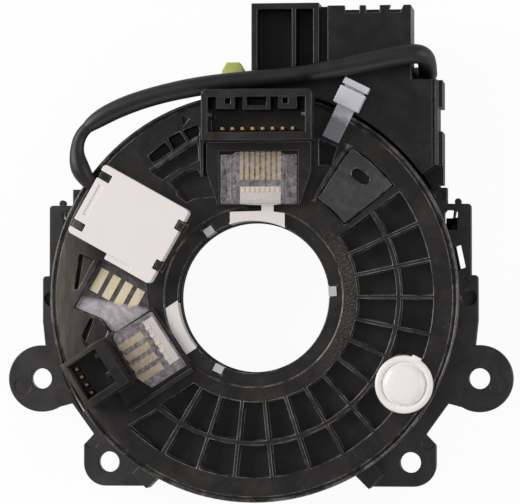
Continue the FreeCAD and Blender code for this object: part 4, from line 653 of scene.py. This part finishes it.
@dataclass(frozen=True)
class SolderTabs:
    """Row of small gilt tabs where the conductors of a flat cable are soldered on.

    Attributes:
        name: The row's name.
        count: Number of tabs.
        centre: Middle of the row, on the cable's face.
        pitch: Distance between tabs.
        size: Width, length and height of a tab.
        turn: How far the row is turned from the x axis, in degrees.
    """

    name: str
    count: int
    centre: Point
    pitch: float
    size: Point
    turn: float = 0.0

    def build(self, finishes: Finishes) -> None:
        """Model one tab, copy it along the row and join the row to one piece.

        Args:
            finishes: Finishes of the unit.
        """
        width, length, height = self.size
        first = add_block(self.name, (-width / 2, -length / 2, 0.0), (width / 2, length / 2, height))
        bpy.ops.mesh.bevel(offset=metres(min(self.size) * 0.3), segments=2, affect="EDGES")
        bpy.ops.object.mode_set(mode="OBJECT")
        first.data.materials.append(finishes.by_slot["gilt_contact"])
        row = [first]
        while len(row) < self.count:
            tab = first.copy()
            tab.data = first.data.copy()
            bpy.context.collection.objects.link(tab)
            row.append(tab)
        turned = Matrix.Rotation(math.radians(self.turn), 4, "Z")
        middle = Vector([metres(value) for value in self.centre])
        for index, tab in enumerate(row):
            along = metres(self.pitch * (index - (self.count - 1) / 2))
            tab.data.transform(Matrix.Translation(middle) @ turned @ Matrix.Translation((along, 0, 0)))
            tab.select_set(True)
        bpy.context.view_layer.objects.active = first
        bpy.ops.object.join()
        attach(first, Body.ROTOR.value)
        log.info("%s: %d tabs", self.name, self.count)


@dataclass(frozen=True)
class RoundPlug:
    """White plug in the boss of the face: a soft rim, a groove and a low dome, turned round its own axis.

    Attributes:
        centre: Place of its axis on the face.
        profile: Radius and level of the outline, from the middle of the dome to the end of the stem.
        nub_angle: Where the small nub stands on the rim, in degrees.
        nub_size: Length, width and height of the nub.
        nub_radius: Distance of the nub from the plug's axis.
        nub_level: Height of the nub's middle.
    """

    centre: tuple[float, float] = (39.58, -22.85)
    profile: tuple[tuple[float, float], ...] = (
        (0.0, 29.0), (2.6, 28.96), (4.2, 28.8), (5.0, 28.45), (5.35, 27.95), (5.5, 27.55), (5.8, 27.5),
        (6.1, 27.85), (6.6, 28.0), (7.1, 27.95), (7.5, 27.7), (7.6, 27.35), (7.6, 27.0), (4.9, 27.0),
        (4.9, 24.7), (4.6, 24.4), (0.0, 24.4))
    nub_angle: float = 64.0
    nub_size: Point = (2.6, 1.5, 0.9)
    nub_radius: float = 7.3
    nub_level: float = 27.6

    def build(self, finishes: Finishes) -> None:
        """Spin the outline and set the nub on the rim.

        Args:
            finishes: Finishes of the unit.
        """
        bpy.ops.object.select_all(action="DESELECT")
        mesh = bpy.data.meshes.new("round_plug_turned")
        outline = [(metres(radius), 0.0, metres(level)) for radius, level in self.profile]
        mesh.from_pydata(outline, [(index, index + 1) for index in range(len(outline) - 1)], [])
        plug = bpy.data.objects.new("round_plug_turned", mesh)
        bpy.context.collection.objects.link(plug)
        plug.select_set(True)
        bpy.context.view_layer.objects.active = plug
        bpy.ops.object.mode_set(mode="EDIT")
        bpy.ops.mesh.select_all(action="SELECT")
        bpy.ops.mesh.spin(steps=72, angle=math.tau, center=(0, 0, 0), axis=(0, 0, 1))
        bpy.ops.mesh.select_all(action="SELECT")
        bpy.ops.mesh.remove_doubles(threshold=metres(0.002))
        bpy.ops.mesh.normals_make_consistent(inside=False)
        bpy.ops.object.mode_set(mode="OBJECT")
        plug.data.transform(Matrix.Translation((metres(self.centre[0]), metres(self.centre[1]), 0)))
        nub = add_block("nub", [-side / 2 for side in self.nub_size], [side / 2 for side in self.nub_size])
        bpy.ops.mesh.bevel(offset=metres(0.25), segments=2, affect="EDGES")
        bpy.ops.object.mode_set(mode="OBJECT")
        away = math.radians(self.nub_angle)
        place = (metres(self.centre[0] + self.nub_radius * math.cos(away)),
                 metres(self.centre[1] + self.nub_radius * math.sin(away)), metres(self.nub_level))
        nub.data.transform(Matrix.Translation(place) @ Matrix.Rotation(away - math.pi / 2, 4, "Z"))
        plug.select_set(True)
        nub.select_set(True)
        bpy.context.view_layer.objects.active = plug
        bpy.ops.object.join()
        bpy.ops.object.shade_smooth_by_angle(angle=math.radians(40))
        plug.data.materials.clear()
        plug.data.materials.append(finishes.by_slot["white_plug"])
        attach(plug, Body.ROTOR.value)
        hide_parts("round_plug")
        log.info("%s: %d faces", plug.name, len(plug.data.polygons))


@dataclass(frozen=True)
class LeadPlug:
    """Small yellow-green plug at the lead's end: sloped shoulders, two cavities and a latch on its front.

    Attributes:
        lowest: Lowest corner of the body.
        highest: Highest corner of the body, under its shoulders.
        shoulder: Height of the sloped part above the body.
        crown: Share of the body's width that is left at the top of the shoulders.
        cavity_depth: Depth of the cavities in the mating end.
    """

    lowest: Point = (-10.6, 56.9, 1.0)
    highest: Point = (-4.7, 61.2, 7.6)
    shoulder: float = 2.3
    crown: float = 0.58
    cavity_depth: float = 1.6

    def build(self, finishes: Finishes) -> None:
        """Model the body and its latch and let them stand for the plug's solid.

        Args:
            finishes: Finishes of the unit.
        """
        body = add_block("lead_plug_moulded", self.lowest, self.highest)
        select_side(body, (0.0, 1.0, 0.0), self.highest[1] - 0.1)
        bpy.ops.mesh.extrude_region_move(TRANSFORM_OT_translate={"value": (0, metres(self.shoulder), 0)})
        bpy.ops.transform.resize(value=(self.crown, 1.0, 0.75))
        select_side(body, (-1.0, 0.0, 0.0), -self.lowest[0] - 0.1)
        bpy.ops.mesh.inset(thickness=metres(0.9))
        bpy.ops.mesh.extrude_region_move(TRANSFORM_OT_translate={"value": (metres(self.cavity_depth), 0, 0)})
        bpy.ops.mesh.select_all(action="SELECT")
        bpy.ops.mesh.normals_make_consistent(inside=False)
        bpy.ops.object.mode_set(mode="OBJECT")
        low, high = self.lowest, self.highest
        middle = (low[1] + high[1]) / 2
        latch = add_block("latch", (low[0] + 0.5, middle - 1.0, high[2] - 0.2),
                          (low[0] + 4.6, middle + 1.0, high[2] + 0.3))
        select_side(latch, (0.0, 0.0, 1.0), high[2])
        bpy.ops.mesh.extrude_region_move(TRANSFORM_OT_translate={"value": (metres(-0.6), 0, metres(0.5))})
        bpy.ops.transform.resize(value=(0.5, 0.9, 1.0))
        bpy.ops.object.mode_set(mode="OBJECT")
        wall = add_block("cavity_wall", (low[0] + 0.1, middle - 0.25, low[2] + 1.0),
                         (low[0] + self.cavity_depth + 0.2, middle + 0.25, high[2] - 1.0))
        bpy.ops.object.mode_set(mode="OBJECT")
        body.select_set(True)
        latch.select_set(True)
        wall.select_set(True)
        bpy.context.view_layer.objects.active = body
        bpy.ops.object.join()
        rounding = body.modifiers.new("rounding", "BEVEL")
        rounding.width = metres(0.22)
        rounding.segments = 2
        bpy.ops.object.modifier_apply(modifier="rounding")
        bpy.ops.object.shade_smooth_by_angle(angle=math.radians(40))
        body.data.materials.append(finishes.by_slot["yellow_plug"])
        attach(body, Body.ROTOR.value)
        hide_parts("lead_plug")
        log.info("%s: %d faces", body.name, len(body.data.polygons))


@dataclass
class Lead:
    """Black lead in a soft sleeve: it leaves the cover plate's corner and passes in front of the tower.

    Attributes:
        level: Height of the lead's centre in front of the rotor.
        core_diameter: Outside diameter of the lead itself.
        sleeve_diameter: Outside diameter of the sleeve over it.
    """

    level: float = 29.8
    core_diameter: float = 3.1
    sleeve_diameter: float = 4.9

    @property
    def route(self) -> tuple[Point, ...]:
        """Control points, from the cover plate to the plug."""
        level = self.level
        return ((-39.6, 27.4, level), (-43.0, 29.9, level), (-45.6, 33.9, level), (-46.5, 38.6, level),
                (-45.3, 43.0, level), (-41.6, 46.3, level), (-34.8, 49.9, level), (-25.4, 53.0, level),
                (-13.6, 55.4, level), (-0.6, 56.8, level), (12.2, 57.9, level), (22.2, 59.7, level),
                (30.4, 61.2, level), (37.6, 62.7, level), (43.1, 63.4, level), (45.3, 62.6, 27.6),
                (45.5, 61.0, 21.6), (45.1, 59.9, 14.4), (45.0, 59.6, 7.9), (42.6, 59.4, 5.4),
                (36.2, 59.0, 4.6), (25.6, 58.8, 4.2), (14.6, 59.0, 4.0), (4.6, 59.6, 4.3), (-4.6, 59.6, 4.3))

    @property
    def sleeve_route(self) -> tuple[Point, ...]:
        """Control points of the sleeve: the lead's own, from the middle of a leg beside the rim."""
        before, after = self.route[4], self.route[5]
        first = tuple((one + other) / 2 for one, other in zip(before, after))
        last = (1.0, 59.6, 4.3)
        return (first, *self.route[5:-1], last)

    @property
    def sleeve_girth(self) -> dict[int, float]:
        """Share of the sleeve's diameter at the points where it is drawn in or bulges."""
        return {0: 0.66, 1: 0.94, 2: 1.03, 4: 1.04, 5: 0.98, 6: 0.92, 7: 0.97, 8: 1.1, 9: 1.12, 10: 1.06}

    @property
    def lead_girth(self) -> dict[int, float]:
        """Share of the lead's diameter where a boot covers its root and where a tie grips it."""
        return {0: 0.9, 1: 1.25, 2: 1.75, 3: 1.15, 4: 1.04}

    def add_cord(self, name: str, node: str, route: tuple[Point, ...], diameter: float,
                 girth: dict[int, float], finishes: Finishes) -> None:
        """Args:
            name: Name of the new piece.
            node: Node that it replaces.
            route: Control points of its line.
            diameter: Outside diameter.
            girth: Share of the diameter at some of the points, by number.
            finishes: Finishes of the unit.
        """
        line = bpy.data.curves.new(name, "CURVE")
        line.dimensions = "3D"
        line.bevel_depth = metres(diameter / 2)
        line.bevel_resolution = 8
        line.resolution_u = 10
        line.use_fill_caps = True
        spline = line.splines.new("NURBS")
        spline.points.add(len(route) - 1)
        for index, (point, (x, y, z)) in enumerate(zip(spline.points, route)):
            point.co = (metres(x), metres(y), metres(z), 1.0)
            point.radius = girth.get(index, 1.0)
        spline.order_u = 3
        spline.use_endpoint_u = True
        piece = bpy.data.objects.new(name, line)
        bpy.context.collection.objects.link(piece)
        line.materials.append(finishes.by_slot["lead_sleeve"])
        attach(piece, Body.ROTOR.value)
        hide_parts(node)
        log.info("%s: %d control points", name, len(route))

    def build(self, finishes: Finishes) -> None:
        """Make the lead and its sleeve.

        Args:
            finishes: Finishes of the unit.
        """
        self.add_cord("black_lead", "lead", self.route, self.core_diameter, self.lead_girth,
                      finishes)
        self.add_cord("black_sleeve", "lead_sleeve", self.sleeve_route, self.sleeve_diameter,
                      self.sleeve_girth, finishes)


@dataclass
class Studio:
    """Camera, lamps and pale floor.

    Attributes:
        distance: From the camera to the rotor's front face.
        to_right: How far the camera stands to the right of the bore's axis, in degrees.
        from_below: How far it stands below that axis, in degrees.
        aim: Point in the middle of the picture.
        view_width: Width of the picture at the aim's depth.
    """

    distance: float = 900.0
    to_right: float = 6.2
    from_below: float = 1.9
    aim: Point = (1.83, 11.8, 27.0)
    view_width: float = 136.24

    def build_camera(self) -> None:
        """Set the camera where the photograph was taken from."""
        right, below = math.radians(self.to_right), math.radians(self.from_below)
        towards = Vector((math.sin(right) * math.cos(below), -math.sin(below), math.cos(right) * math.cos(below)))
        aim = Vector(self.aim) / 1000
        camera = bpy.data.objects.new("camera", bpy.data.cameras.new("camera"))
        bpy.context.collection.objects.link(camera)
        across = Vector((0, 1, 0)).cross(towards).normalized()
        up = towards.cross(across)
        place = Matrix((across, up, towards)).transposed().to_4x4()
        place.translation = aim + towards * metres(self.distance)
        camera.matrix_world = place
        camera.data.sensor_width = 36.0
        camera.data.lens = 36.0 * self.distance / self.view_width
        camera.data.clip_end = 10.0
        bpy.context.scene.camera = camera

    def add_lamp(self, name: str, place: Point, size: float, power: float) -> None:
        """Add a square soft lamp that faces the object.

        Args:
            name: The lamp's name.
            place: Its centre, in millimetres.
            size: Its side, in millimetres.
            power: Its power, in watts.
        """
        data = bpy.data.lights.new(name, "AREA")
        data.shape = "SQUARE"
        data.size = metres(size)
        data.energy = power
        lamp = bpy.data.objects.new(name, data)
        bpy.context.collection.objects.link(lamp)
        centre = Vector(place) / 1000
        lamp.location = centre
        lamp.rotation_euler = (Vector((0, 0, 0.02)) - centre).to_track_quat("-Z", "Y").to_euler()

    def build_floor(self) -> None:
        """Lay the pale floor under the unit; the camera sees it nearly white, with its shadow kept."""
        bpy.ops.object.select_all(action="DESELECT")
        bpy.ops.mesh.primitive_plane_add(size=3.0, location=(0, 0, -0.0002))
        floor = bpy.context.object
        floor.name = "floor"
        material = bpy.data.materials.new("Studio floor, painted white")
        material.use_nodes = True
        tree = material.node_tree
        tree.nodes.clear()
        paint = add_node(tree, "ShaderNodeBsdfDiffuse", {"Color": linear("#f2f2f2")})
        glow = add_node(tree, "ShaderNodeEmission", {"Color": linear("#ffffff"), "Strength": 1.0})
        ray = add_node(tree, "ShaderNodeLightPath")
        seen = add_node(tree, "ShaderNodeMath", {"operation": "MAXIMUM"},
                        {0: ray.outputs["Is Camera Ray"], 1: ray.outputs["Is Transmission Ray"]})
        share = add_node(tree, "ShaderNodeMath", {"operation": "MULTIPLY", 1: 0.95}, {0: seen.outputs[0]})
        mixed = add_node(tree, "ShaderNodeMixShader", links={0: share.outputs[0], 1: paint.outputs[0],
                                                             2: glow.outputs[0]})
        add_node(tree, "ShaderNodeOutputMaterial", links={"Surface": mixed.outputs[0]})
        floor.data.materials.append(material)

    def build_world(self) -> None:
        """Fill the surroundings with a dim even grey, white only where the camera looks straight at it."""
        world = bpy.data.worlds.new("studio")
        world.use_nodes = True
        bpy.context.scene.world = world
        tree = world.node_tree
        tree.nodes.clear()
        ray = add_node(tree, "ShaderNodeLightPath")
        strength = add_node(tree, "ShaderNodeMapRange", {"To Min": 0.22, "To Max": 1.0},
                            {"Value": ray.outputs["Is Camera Ray"]})
        glow = add_node(tree, "ShaderNodeBackground", {"Color": linear("#ffffff")},
                        {"Strength": strength.outputs["Result"]})
        add_node(tree, "ShaderNodeOutputWorld", links={"Surface": glow.outputs[0]})

    def build(self) -> None:
        """Set up the whole studio."""
        self.build_camera()
        self.build_floor()
        self.build_world()
        self.add_lamp("left_softbox", (-900, 350, 600), 700, 11.6)
        self.add_lamp("right_softbox", (800, 100, 450), 600, 3.9)
        self.add_lamp("lower_softbox", (60, -900, 500), 500, 2.2)


def main() -> None:
    """Build the studio and the pieces."""
    logging.basicConfig(level=logging.INFO, format="%(name)s: %(message)s")
    bpy.context.scene.view_settings.view_transform = "Standard"
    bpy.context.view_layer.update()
    Studio().build()
    finishes = Finishes()
    finishes.dress()
    Lead().build(finishes)
    RoundedEdges().build(finishes)
    SolderTabs("top_cable_tabs", 8, (2.1, 28.1, 28.8), 1.3, (0.8, 1.3, 0.3)).build(finishes)
    SolderTabs("side_cable_tabs", 5, (-25.0, -11.95, 28.9), 2.3, (1.0, 1.3, 0.25), 303.0).build(finishes)
    RoundPlug().build(finishes)
    LeadPlug().build(finishes)


if __name__ == "__main__":
    main()
